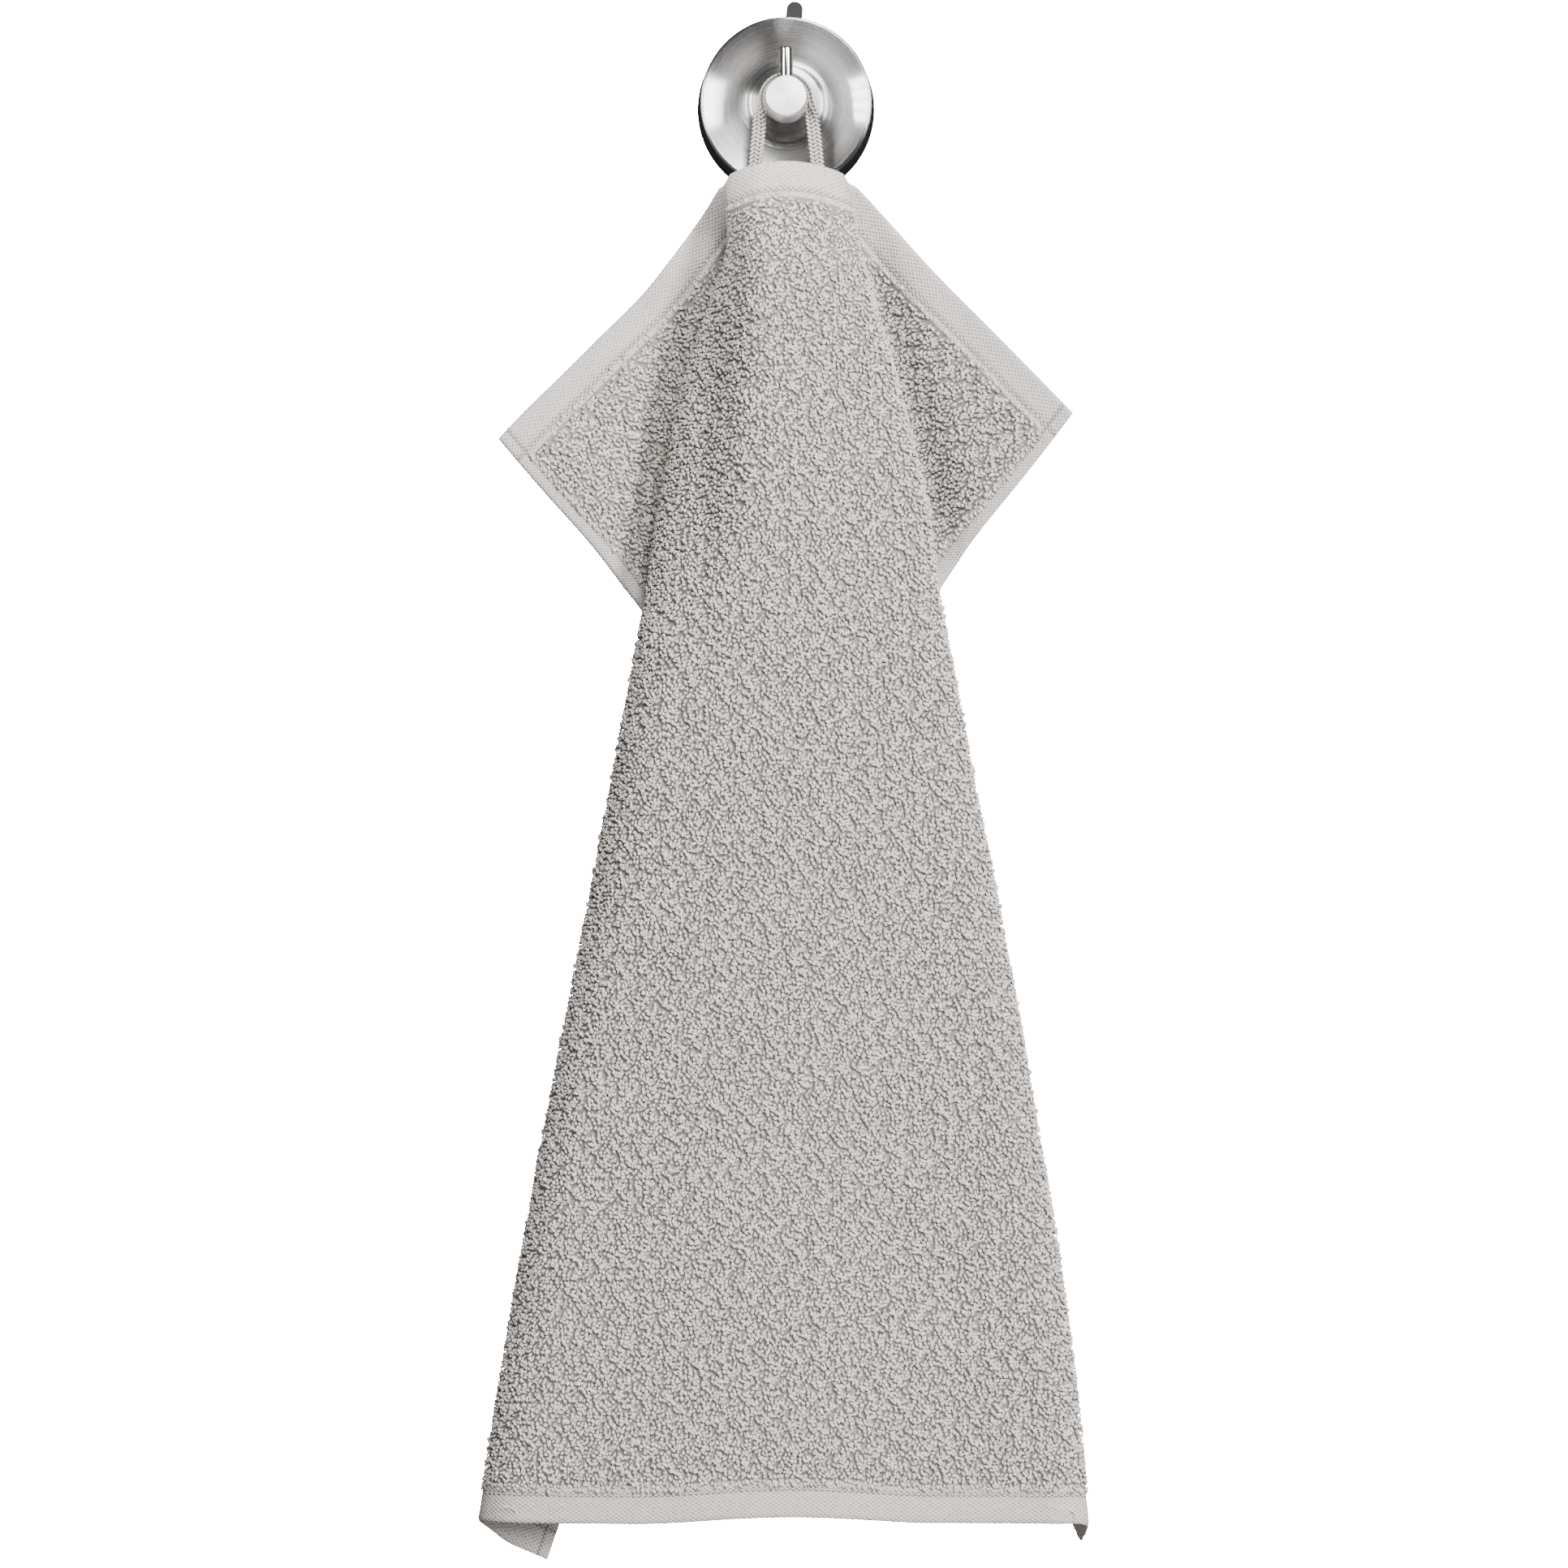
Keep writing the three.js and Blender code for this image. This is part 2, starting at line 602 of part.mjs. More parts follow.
// The hanger loop runs from behind the hem up one strand, over the knob and down the other.
// It lies flat on the knob and turns to face the front on its way down.
function hangerStations() {
  const arcRadius = KNOB_RADIUS + AIR + TAPE_THICKNESS / 2;
  const strandAt = (half) => {
    const sewn = TAPE_SEWN.map((distance) => behindHem(half, distance));
    const low = sewn[0].place;
    const reach = Math.hypot(low.x, low.z);
    const leave = Math.atan2(low.z, Math.abs(low.x)) + Math.acos(arcRadius / reach);
    const top = new THREE.Vector3(Math.cos(leave) * half.side, 0, Math.sin(leave));
    top.multiplyScalar(arcRadius).setY(-TAPE_FRONT);
    const strand = [];
    for (let i = 1; i < STRAND_STEPS; i += 1) {
      const share = i / STRAND_STEPS;
      const turn = (smoothStep(0, TAPE_TURN, share) * Math.PI) / 2;
      const face = new THREE.Vector3(Math.sin(turn), -Math.cos(turn), 0);
      const place = top.clone().lerp(low, share);
      place.y = THREE.MathUtils.lerp(top.y, low.y, smoothStep(0, 1, share));
      strand.push({ place, across: face.lerp(sewn[0].across, smoothStep(TAPE_TURN, 1, share)).normalize() });
    }
    return { leave, stations: [...strand, ...sewn] };
  };
  const left = strandAt(LEFT);
  const right = strandAt(RIGHT);
  const over = [];
  for (let i = 0; i <= ARC_STEPS; i += 1) {
    const angle = THREE.MathUtils.lerp(Math.PI - left.leave, right.leave, i / ARC_STEPS);
    const place = new THREE.Vector3(arcRadius * Math.cos(angle), -TAPE_FRONT, arcRadius * Math.sin(angle));
    over.push({ place, across: new THREE.Vector3(0, -1, 0) });
  }
  return [...left.stations.reverse(), ...over, ...right.stations];
}

// An oval tape swept through its stations, closed at both ends
function hangerLoopGeometry() {
  const stations = hangerStations();
  const positions = [];
  stations.forEach(({ place, across }, i) => {
    const next = stations[Math.min(i + 1, stations.length - 1)].place;
    const along = next.clone().sub(stations[Math.max(i - 1, 0)].place).normalize();
    const wide = across.clone().addScaledVector(along, -across.dot(along)).normalize();
    const thick = along.clone().cross(wide);
    for (let k = 0; k < TAPE_SIDES; k += 1) {
      const angle = (2 * Math.PI * k) / TAPE_SIDES;
      const flat = (c) => Math.sign(c) * Math.abs(c) ** TAPE_OVAL;
      const point = place.clone();
      point.addScaledVector(wide, (flat(Math.cos(angle)) * TAPE_WIDTH) / 2);
      point.addScaledVector(thick, (flat(Math.sin(angle)) * TAPE_THICKNESS) / 2);
      positions.push(...point.toArray());
    }
  });
  const faces = [];
  const corner = (i, k) => i * TAPE_SIDES + (k % TAPE_SIDES);
  for (let i = 0; i + 1 < stations.length; i += 1) {
    for (let k = 0; k < TAPE_SIDES; k += 1) {
      faces.push(corner(i, k), corner(i, k + 1), corner(i + 1, k + 1));
      faces.push(corner(i, k), corner(i + 1, k + 1), corner(i + 1, k));
    }
  }
  const last = stations.length - 1;
  for (let k = 1; k + 1 < TAPE_SIDES; k += 1) {
    faces.push(corner(0, 0), corner(0, k + 1), corner(0, k));
    faces.push(corner(last, 0), corner(last, k), corner(last, k + 1));
  }
  const geometry = new THREE.BufferGeometry();
  geometry.setAttribute('position', new THREE.Float32BufferAttribute(positions, 3));
  geometry.setIndex(faces);
  return welded(geometry);
}

function finish(color, roughness, metalness = 0) {
  return new THREE.MeshStandardMaterial({ color, roughness, metalness });
}

const object = new THREE.Group();

function add(name, geometry, material) {
  const mesh = new THREE.Mesh(geometry, material);
  mesh.name = name;
  object.add(mesh);
}

add('suction_cup', suctionCupGeometry(), finish(0x1d1e20, 0.55));
add('cover_disc', coverGeometry(), finish(0xb9b8b5, 0.3, 1));
add('knob', knobGeometry(), finish(0xd8d8d8, 0.35, 1));
add('retaining_pin', pinGeometry(), finish(0xc8c6c4, 0.12, 1));
add('hanger_loop', hangerLoopGeometry(), finish(0xc9c7c2, 0.9));
add('towel', towelGeometry(), finish(0xcdcac6, 0.95));

export default object;
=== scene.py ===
"""Guest towel hanging by its loop from a round steel suction hook."""

import math

import bmesh
import bpy
import numpy as np
from mathutils import Matrix, Vector


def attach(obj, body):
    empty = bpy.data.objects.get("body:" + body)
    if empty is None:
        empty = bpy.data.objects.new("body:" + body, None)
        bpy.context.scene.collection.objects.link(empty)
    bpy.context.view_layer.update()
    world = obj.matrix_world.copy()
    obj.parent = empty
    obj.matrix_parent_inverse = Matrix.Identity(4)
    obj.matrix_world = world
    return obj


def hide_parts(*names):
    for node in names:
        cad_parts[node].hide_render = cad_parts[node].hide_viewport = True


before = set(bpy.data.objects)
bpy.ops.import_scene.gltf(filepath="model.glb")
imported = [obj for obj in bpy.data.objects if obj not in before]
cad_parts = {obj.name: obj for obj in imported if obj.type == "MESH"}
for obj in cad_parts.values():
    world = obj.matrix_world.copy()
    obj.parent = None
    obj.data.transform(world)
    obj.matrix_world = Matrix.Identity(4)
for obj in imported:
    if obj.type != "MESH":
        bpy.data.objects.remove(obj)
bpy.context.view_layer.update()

MM = 0.001
RNG = np.random.default_rng(7)

# Camera

CAMERA_PLACE = (-0.00076, -2.05, -0.2527)
CAMERA_LENS = 125.5


def make_camera():
    """Level with the middle of the cloth, square to the wall, as the picture was taken"""
    data = bpy.data.cameras.new("camera")
    data.sensor_width = 36
    data.lens = CAMERA_LENS
    data.clip_start = 0.05
    data.clip_end = 20
    camera = bpy.data.objects.new("camera", data)
    camera.location = CAMERA_PLACE
    camera.rotation_euler = (math.pi / 2, 0, 0)
    bpy.context.scene.collection.objects.link(camera)
    bpy.context.scene.camera = camera


make_camera()

# Drape of the cloth
# All lengths in this section are millimetres. A point of the flat cloth is u across from
# the towel's middle and v down from its top hem. The cloth hangs from two shoulders, and
# its folds run out from them like the ribs of a fan.

CREST_X = -8
SHOULDER_Z = -27.8
HEM_ARCH = 4.7
ARCH_FADE = 0.45
ARCH_HALF_WIDTH = 22.3
ARCH_SPREAD = 33
SHEAR = 0.16
SHEAR_REACH = 130
NEAR_BEND = 5.5
NEAR_SHARE = 0.085
NEAR_LEAST = 2.2
FAR_BEND = 8
FAR_SHARE = 0.115
FAR_LEAST = 1.6
DROP_WAY = 9
LEFT_SHOULDER, LEFT_REACH = -22.3, 128.5
RIGHT_SHOULDER, RIGHT_REACH = 21.6, 122
LENGTH = 497
END_HEM = 13.5
SIDE_HEM = 6
END_SEAM, END_SEAM_WIDTH = 10.6, 0.7
SIDE_SEAM, SIDE_SEAM_WIDTH = 4.6, 0.6
SEAM_DENT = 0.22
HEM_SOFT = 0.8
HEM_HALF = 1.0
GROUND_HALF = 0.45
PILE_HALF = 2.2

# The valley between the body and a wing. The trough lies in the wing only, the dip also in
# the body's flank. Each grows and fades over two stretches of distance from the shoulder.
# WALL_ROOM is kept free in front of the wall.
TROUGH_WIDTH = 10
TROUGH_SHIFT = 2.5
FLANK_WIDTH = 26
WING_WIDTH = 13
LEFT_TROUGH, RIGHT_TROUGH = 3.5, 9.5
LEFT_DIP, RIGHT_DIP = 10, 0
TROUGH_GROWS, TROUGH_FADES = (14, 45), (120, 165)
DIP_GROWS, DIP_FADES = (4, 30), (110, 200)
WALL_ROOM = 5.5

U_LEFT = LEFT_SHOULDER - LEFT_REACH
U_RIGHT = RIGHT_SHOULDER + RIGHT_REACH


def columns(names, *rows):
    """A table as one array for each named column"""
    return dict(zip(names.split(), np.array(rows, float).T))


# By distance from the shoulder: hem, the angle of the hanging end hem; edge, the angle of
# the outer fold; lean, mid, roll, how far the front turns back at the crest, before the edge
# band and at the fold; turn, how far the fold turns; inner, where the hidden fold lies; wing,
# how far the wing turns back; band, the edge band's width; gather and drop, how the hidden
# cloth is drawn in and hangs down.
CREST = columns(
    "at depth soft",
    (0, -34.5, 3),
    (20, -38.5, 3),
    (45, -45, 4),
    (80, -51, 6),
    (125, -54.5, 10),
    (163, -54.5, 15),
    (220, -52, 22),
    (300, -47.5, 28),
    (400, -44, 32),
    (520, -42, 34),
)
LEFT_ROWS = columns(
    "at hem edge lean mid roll turn inner wing band gather drop",
    (0, 33, 0, 18, 32, 48, 84, 0, 6, 6, 1, 0),
    (20, 34.8, 1, 23, 32, 46, 100, 0, 3, 6, 1, 0),
    (45, 36, 8, 23, 31, 50, 165, -1, 0, 8, 1, 0),
    (80, 39.2, 12.2, 20, 28, 55, 180, -6, -5, 11, 1, 0),
    (128.5, 41, 11.5, 14, 22, 56, 180, -12, -6, 14, 1, 0),
    (163, 41, 10.9, 10, 16, 56, 180, -13, -4, 16, 0.89, 0),
    (220, 41, 10.9, 7, 11, 56, 180, -13, 0, 18, 0.95, 0),
    (300, 41, 10.95, 5, 9, 55, 180, -13, 0, 18, 1, 0),
    (400, 41, 10.85, 4, 7, 52, 180, -13, 0, 18, 1, 0),
    (520, 41, 10.6, 2, 6, 50, 174, -13, 0, 18, 0.9, 4.5),
)
RIGHT_ROWS = columns(
    "at hem edge lean mid roll turn inner wing band gather drop",
    (0, 52, 13, 3, 12, 40, 84, 0, -4, 6, 1, 0),
    (20, 47, 14.3, 3, 10, 38, 100, 0, -5, 6, 1, 0),
    (45, 44.2, 14.6, 3, 8, 34, 150, 3, -6, 5, 1, 0),
    (80, 43.9, 15, 3, 8, 34, 176, 2, -8, 6, 1, 0),
    (122, 43.7, 14.5, 5, 8, 34, 180, -3.5, -9, 7, 1, 0),
    (150, 43.7, 13.2, 6, 6, 36, 180, -8, -8, 8, 0.97, 0),
    (220, 43.7, 12.4, 7, 3, 38, 180, -8.5, -4, 10, 1, 0),
    (300, 43.7, 11.95, 8, -2, 40, 180, -8.5, 0, 12, 1, 0),
    (400, 43.7, 11.4, 8, -5, 42, 165, -8.5, 0, 13, 1, 0),
    (520, 43.7, 10.3, 7, -8, 40, 86, -8.5, 0, 13, 0.92, 4),
)


def smooth(low, high, x):
    """0 below low, 1 above high, and a soft step between"""
    t = np.clip((x - low) / (high - low), 0, 1)
    return t * t * (3 - 2 * t)


def column(rows, name, x):
    """A smooth value at a distance, with no overshoot between the rows"""
    at, value = rows["at"], rows[name]
    slope = np.diff(value) / np.diff(at)
    tangent = np.empty_like(value)
    tangent[0], tangent[-1] = slope[0], slope[-1]
    a, b = slope[:-1], slope[1:]
    tangent[1:-1] = np.where(a * b > 0, 2 * a * b / np.where(a + b == 0, 1, a + b), 0)
    x = np.clip(x, at[0], at[-1])
    i = np.clip(np.searchsorted(at, x, side="right") - 1, 0, len(at) - 2)
    span = at[i + 1] - at[i]
    t = (x - at[i]) / span
    ends = value[i] * (1 + 2 * t) * (1 - t) ** 2 + value[i + 1] * t * t * (3 - 2 * t)
    return ends + span * (tangent[i] * t * (1 - t) ** 2 + tangent[i + 1] * t * t * (t - 1))


def even_turn(start, end):
    """Mean cosine and sine of a heading that turns evenly"""
    by = end - start
    still = np.abs(by) < 1e-4
    turn = np.where(still, 1, by)
    cos = np.where(still, np.cos(start), (np.sin(end) - np.sin(start)) / turn)
    sin = np.where(still, np.sin(start), (np.cos(start) - np.cos(end)) / turn)
    return cos, sin


class Half:
    """One half of the cloth, from the crest of the body out to its side hem"""

    def __init__(self, side, shoulder, reach, rows, trough, dip):
        self.side, self.shoulder, self.reach, self.rows = side, shoulder, reach, rows
        self.trough, self.dip = trough, dip
        self.width = abs(shoulder - CREST_X)

    def walk(self, way, r):
        """Place across, depth and drop of a point, walked from the crest outwards"""

        def read(name):
            return column(self.rows, name, r)

        near = np.minimum(NEAR_BEND, NEAR_SHARE * r + NEAR_LEAST)
        far = np.minimum(FAR_BEND, FAR_SHARE * r + FAR_LEAST)
        angles = (np.radians(read(n)) for n in ("lean", "mid", "roll", "turn", "wing"))
        lean, mid, roll, turn, wing = angles
        band = read("band")
        soft = column(CREST, "soft", r)
        edge = r * np.radians(read("edge")) - PILE_HALF * smooth(0, 30, r)
        bent = soft * even_turn(0 * r, lean)[0] + band * even_turn(mid, roll)[0]
        front = edge - near * (1 - np.sin(roll)) + self.width - bent
        front = front / even_turn(lean, mid)[0]
        fold = edge - near * (1 - np.sin(turn))
        walked = soft + front + band + near * (turn - roll)
        rest = self.width + r * np.pi / 2 - walked - far * (turn - wing)
        start = fold + far * (np.sin(turn) - np.sin(wing))
        to_hem = start + rest * np.cos(wing) - r * np.radians(read("hem"))
        by_hem = np.maximum(to_hem / (np.cos(wing) - np.cos(turn)), 0.05 * r)
        by_fold = np.maximum((fold - read("inner")) / np.maximum(-np.cos(turn), 0.3), 1)
        hidden = by_hem + (by_fold - by_hem) * smooth(self.reach - 2, self.reach + 30, r)
        gather = np.where(r > self.reach, read("gather"), 1)
        drop = read("drop") * smooth(-DROP_WAY, DROP_WAY, way - walked)

        left = np.where(way > walked, walked + (way - walked) * gather, way)
        across = np.full_like(r, -self.width)
        depth = column(CREST, "depth", r)
        legs = (
            (soft, 0 * r, lean),
            (front, lean, mid),
            (band, mid, roll),
            (near * (turn - roll), roll, turn),
            (hidden, turn, turn),
            (far * (turn - wing), turn, wing),
        )
        for length, heading, end in legs:
            part = np.clip(left, 0, np.maximum(length, 0))
            share = part / np.maximum(length, 1e-6)
            cos, sin = even_turn(heading, heading + (end - heading) * share)
            across = across + part * cos
            depth = depth + part * sin
            left = np.maximum(left - np.maximum(length, 0), 0)
        across, depth = across + left * np.cos(wing), depth + left * np.sin(wing)
        push = self.valley(across - edge, left, way, r)
        room = np.maximum(-depth - WALL_ROOM, 0.01)
        return across, depth + room * (1 - np.exp(-push / room)), drop

    def valley(self, beyond, in_wing, way, r):
        """How far the cloth is pressed back beside the body's edge"""
        trough = np.exp(-(((beyond - TROUGH_SHIFT) / TROUGH_WIDTH) ** 2)) * smooth(0, 6, in_wing)
        trough = trough * (smooth(*TROUGH_GROWS, r) * (1 - smooth(*TROUGH_FADES, r)))
        dip = np.exp(-((beyond / np.where(beyond < 0, FLANK_WIDTH, WING_WIDTH)) ** 2))
        dip = dip * smooth(0, 24, way) * smooth(*DIP_GROWS, r) * (1 - smooth(*DIP_FADES, r))
        return self.trough * trough + self.dip * dip

    def place(self, u, v):
        """Place of a point of the cloth in the frame, in millimetres"""
        d = np.abs(u - CREST_X)
        beyond = d - self.width
        sag = SHEAR * v * np.exp(-((v / SHEAR_REACH) ** 2))
        out = np.where(beyond > 0, beyond * (1 + sag / self.reach), 0)
        r = np.where(beyond > 0, np.hypot(out, v), v)
        way = np.where(beyond > 0, self.width + r * np.arctan2(out, np.maximum(v, 1e-9)), d)
        across, depth, drop = self.walk(way, r)
        angle = np.maximum(across, 0) / np.maximum(r, 1e-9)
        x = self.shoulder + self.side * np.where(across > 0, r * np.sin(angle), across)
        half_width = ARCH_HALF_WIDTH + ARCH_SPREAD * smooth(0, 250, r)
        bump = np.maximum(0, 1 - (x / half_width) ** 2) ** (1 + smooth(0, 60, r))
        lift = HEM_ARCH * bump * (1 - ARCH_FADE * r / LENGTH)
        z = SHOULDER_Z - r * np.where(across > 0, np.cos(angle), 1) + lift - drop
        return np.stack([x, depth, z], -1)


LEFT = Half(-1, LEFT_SHOULDER, LEFT_REACH, LEFT_ROWS, LEFT_TROUGH, LEFT_DIP)
RIGHT = Half(1, RIGHT_SHOULDER, RIGHT_REACH, RIGHT_ROWS, RIGHT_TROUGH, RIGHT_DIP)


def ripple(u, v):
    """Slight unevenness of hanging cloth, along its normal"""
    slow = 0.35 * np.sin(u * 0.071 + v * 0.013 + 0.6) * np.sin(v * 0.021 - u * 0.017 + 1.1)
    quick = 0.16 * np.sin(u * 0.19 - v * 0.037) * np.sin(v * 0.093 + u * 0.05 + 2.0)
    return slow + quick


def drape(u, v):
    """Places of points of the flat cloth once it hangs"""
    u, v = np.broadcast_arrays(np.asarray(u, float), np.maximum(np.asarray(v, float), 0.01))
    flat_u, flat_v = u.ravel(), v.ravel()
    left = flat_u < CREST_X
    place = np.empty((flat_u.size, 3))
    place[left] = LEFT.place(flat_u[left], flat_v[left])
    place[~left] = RIGHT.place(flat_u[~left], flat_v[~left])
    return place.reshape(*u.shape, 3)


def unit(vectors):
    return vectors / np.maximum(np.linalg.norm(vectors, axis=-1, keepdims=True), 1e-9)


def cloth_frame(u, v, step=0.35):
    """Places on the middle of the cloth, with the ways across, down and out of its face"""
    u, v = np.broadcast_arrays(np.asarray(u, float), np.clip(np.asarray(v, float), 0.01, None))
    place = drape(u, v)
    across = unit(drape(u + step, v) - drape(u - step, v))
    down = unit(drape(u, v + step) - drape(u, np.maximum(v - step, 0.01)))
    out = unit(np.cross(down, across))
    return place + out * ripple(u, v)[..., None], across, down, out


def pinch(u, v):
    """0 where the shoulders pinch the folded cloth, 1 where it hangs free"""
    shoulder = np.where(u < CREST_X, LEFT_SHOULDER, RIGHT_SHOULDER)
    beyond = np.where(u < CREST_X, shoulder - u, u - shoulder)
    r = np.hypot(np.maximum(beyond, 0), v)
    at_fold = smooth(-14, 0, beyond)
    return 1 - at_fold * (1 - smooth(10, 62, r))


def kept_thickness(u, v):
    """How much of its thickness the ground keeps where it is pinched"""
    return 0.6 + 0.4 * pinch(u, v)


def from_edges(u, v):
    """Distance of a point of the flat cloth from its nearest end and its nearest side"""
    return np.minimum(v, LENGTH - v), np.minimum(u - U_LEFT, U_RIGHT - u)


def hem_share(u, v):
    """1 in the flat hems and 0 in the pile"""
    to_end, to_side = from_edges(u, v)
    return 1 - smooth(0, HEM_SOFT, to_end - END_HEM) * smooth(0, HEM_SOFT, to_side - SIDE_HEM)


# Meshes from arrays


def mesh_object(name, vertices, faces, material, uv=None, shade=None, slots=None):
    """Vertices in millimetres. uv and shade are given by vertex."""
    vertices = np.ascontiguousarray(np.asarray(vertices, float).reshape(-1, 3) * MM)
    faces = np.asarray(faces, np.int32)
    sides = faces.shape[1]
    mesh = bpy.data.meshes.new(name)
    mesh.vertices.add(len(vertices))
    mesh.vertices.foreach_set("co", vertices.ravel())
    mesh.loops.add(faces.size)
    mesh.loops.foreach_set("vertex_index", faces.ravel())
    mesh.polygons.add(len(faces))
    mesh.polygons.foreach_set("loop_start", np.arange(0, faces.size, sides, dtype=np.int32))
    mesh.polygons.foreach_set("loop_total", np.full(len(faces), sides, np.int32))
    if slots is not None:
        mesh.polygons.foreach_set("material_index", slots.astype(np.int32))
    mesh.update(calc_edges=True)
    mesh.polygons.foreach_set("use_smooth", np.ones(len(faces), bool))
    if uv is not None:
        layer = mesh.uv_layers.new(name="cloth")
        layer.data.foreach_set("uv", np.asarray(uv, float)[faces.ravel()].ravel())
    if shade is not None:
        attribute = mesh.attributes.new("shade", "FLOAT", "POINT")
        attribute.data.foreach_set("value", np.asarray(shade, np.float32))
    for one in material if isinstance(material, (list, tuple)) else [material]:
        mesh.materials.append(one)
    made = bpy.data.objects.new(name, mesh)
    bpy.context.scene.collection.objects.link(made)
    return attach(made, "root")


def bmesh_object(name, bm, material, smooth_faces=True):
    bmesh.ops.recalc_face_normals(bm, faces=bm.faces)
    for face in bm.faces:
        face.smooth = smooth_faces
    mesh = bpy.data.meshes.new(name)
    bm.to_mesh(mesh)
    bm.free()
    mesh.materials.append(material)
    made = bpy.data.objects.new(name, mesh)
    bpy.context.scene.collection.objects.link(made)
    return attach(made, "root")


# Materials


def new_material(name, color, roughness=0.5, metallic=0.0, **more):
    material = bpy.data.materials.new(name)
    material.use_nodes = True
    shader = material.node_tree.nodes["Principled BSDF"]
    shader.inputs["Base Color"].default_value = (*color, 1)
    shader.inputs["Roughness"].default_value = roughness
    shader.inputs["Metallic"].default_value = metallic
    for socket, value in more.items():
        shader.inputs[socket.replace("_", " ")].default_value = value
    return material


def add_node(material, kind, inputs=(), **settings):
    node = material.node_tree.nodes.new(kind)
    for name, value in settings.items():
        setattr(node, name, value)
    for socket, value in dict(inputs).items():
        if isinstance(value, bpy.types.NodeSocket):
            material.node_tree.links.new(value, node.inputs[socket])
        else:
            node.inputs[socket].default_value = value
    return node


def math_node(material, operation, *values):
    return add_node(material, "ShaderNodeMath", enumerate(values), operation=operation).outputs[0]


def link_shader(material, socket, output):
    shader = material.node_tree.nodes["Principled BSDF"]
    material.node_tree.links.new(output, shader.inputs[socket])


def add_bump(material, height, strength, distance):
    inputs = {"Height": height, "Strength": strength, "Distance": distance}
    link_shader(material, "Normal", add_node(material, "ShaderNodeBump", inputs).outputs[0])


def ramp(material, value, stops):
    node = add_node(material, "ShaderNodeValToRGB", {"Fac": value})
    elements = node.color_ramp.elements
    while len(elements) < len(stops):
        elements.new(0.5)
    for element, (position, color) in zip(elements, stops):
        element.position = position
        element.color = (*color, 1)
    return node.outputs["Color"]


def grey(level, warmth=0.0):
    """A linear grey, a little warm"""
    return (level * (1 + 1.5 * warmth), level, level * (1 - 1.2 * warmth))


CLOTH_WARMTH = 0.05
CLOTH_FUZZ = {"Sheen_Weight": 0.1, "Sheen_Roughness": 0.5, "Specular_IOR_Level": 0.12}


def pile_material(name, dark, light):
    """Terry loops: each a little lighter or darker at random, and darker at the root and beside the
    pits, which is painted shade
    """
    material = new_material(name, grey(light, CLOTH_WARMTH), 0.92, **CLOTH_FUZZ)
    shade = add_node(material, "ShaderNodeAttribute", attribute_name="shade").outputs["Fac"]
    colors = ((0, grey(dark, CLOTH_WARMTH)), (1, grey(light, CLOTH_WARMTH)))
    link_shader(material, "Base Color", ramp(material, shade, colors))
    coordinates = add_node(material, "ShaderNodeTexCoord").outputs["Object"]
    inputs = {"Vector": coordinates, "Scale": 1900, "Detail": 1}
    yarn = add_node(material, "ShaderNodeTexNoise", inputs).outputs["Fac"]
    add_bump(material, yarn, 0.5, 0.0003)
    return material


def woven_material(name, level, width, height):
    """Flat woven hem: small diamonds of yarn, with a darker line along the seams that is painted
    shade in their groove
    """
    material = new_material(name, grey(level, CLOTH_WARMTH), 0.85, **CLOTH_FUZZ)
    uv = add_node(material, "ShaderNodeUVMap", uv_map="cloth").outputs["UV"]
    axes = add_node(material, "ShaderNodeSeparateXYZ", {"Vector": uv}).outputs
    waves = []
    for axis, repeat in ((axes["X"], width), (axes["Y"], height)):
        turns = math_node(material, "MULTIPLY", axis, 2 * math.pi / repeat)
        waves.append(math_node(material, "SINE", turns))
    diamond = math_node(material, "MULTIPLY", *waves)
    inputs = {"Vector": uv, "Scale": 1500, "Detail": 2}
    fibre = add_node(material, "ShaderNodeTexNoise", inputs).outputs["Fac"]
    raised = math_node(material, "MULTIPLY_ADD", diamond, 0.35, fibre)
    painted_seam_shade = add_node(material, "ShaderNodeAttribute", attribute_name="shade").outputs["Fac"]
    tone_and_painted_shade = math_node(material, "SUBTRACT", raised, math_node(material, "MULTIPLY", painted_seam_shade, 0.5))
    dark = grey(level * 0.36, CLOTH_WARMTH)
    plain, light = grey(level, CLOTH_WARMTH), grey(level * 1.06, CLOTH_WARMTH)
    colors = ((0.05, dark), (0.45, plain), (0.9, light))
    link_shader(material, "Base Color", ramp(material, tone_and_painted_shade, colors))
    add_bump(material, raised, 0.7, 0.0005)
    return material


# The ground between the loops is painted dark: painted shade of the deep gaps in the pile, less
# deep on the back and where the front turns to the wall.
GROUND_PAINTED_SHADE = new_material("terry_ground_painted_shade", grey(0.24, CLOTH_WARMTH), 0.95, **CLOTH_FUZZ)
BACK_GROUND_PAINTED_SHADE = new_material("terry_ground_behind_painted_shade", grey(0.4, CLOTH_WARMTH), 0.95, **CLOTH_FUZZ)
END_WEAVE = woven_material("end_hem_weave", 0.565, 0.0021, 0.0015)
SIDE_WEAVE = woven_material("side_hem_weave", 0.535, 0.0014, 0.0014)
# The dark ends of these ramps are painted shade: at the loops' roots and beside the pits, in the
# tape's core and at the stitch ends.
PILE = pile_material("terry_pile", 0.2, 0.72)
TAPE_YARN = pile_material("tape_yarn", 0.1, 0.62)
THREAD = new_material("sewing_thread", grey(0.66, CLOTH_WARMTH), 0.8, **CLOTH_FUZZ)

# Tubes


def tube_faces(rings, sides):
    """Triangles of a tube with closed ends, numbered ring after ring"""
    faces = []
    for i in range(rings - 1):
        for k in range(sides):
            a, b = i * sides + k, i * sides + (k + 1) % sides
            faces += [(a, b, b + sides), (a, b + sides, a + sides)]
    last = (rings - 1) * sides
    for k in range(1, sides - 1):
        faces += [(0, k + 1, k), (last, last + k, last + k + 1)]
    return np.array(faces)


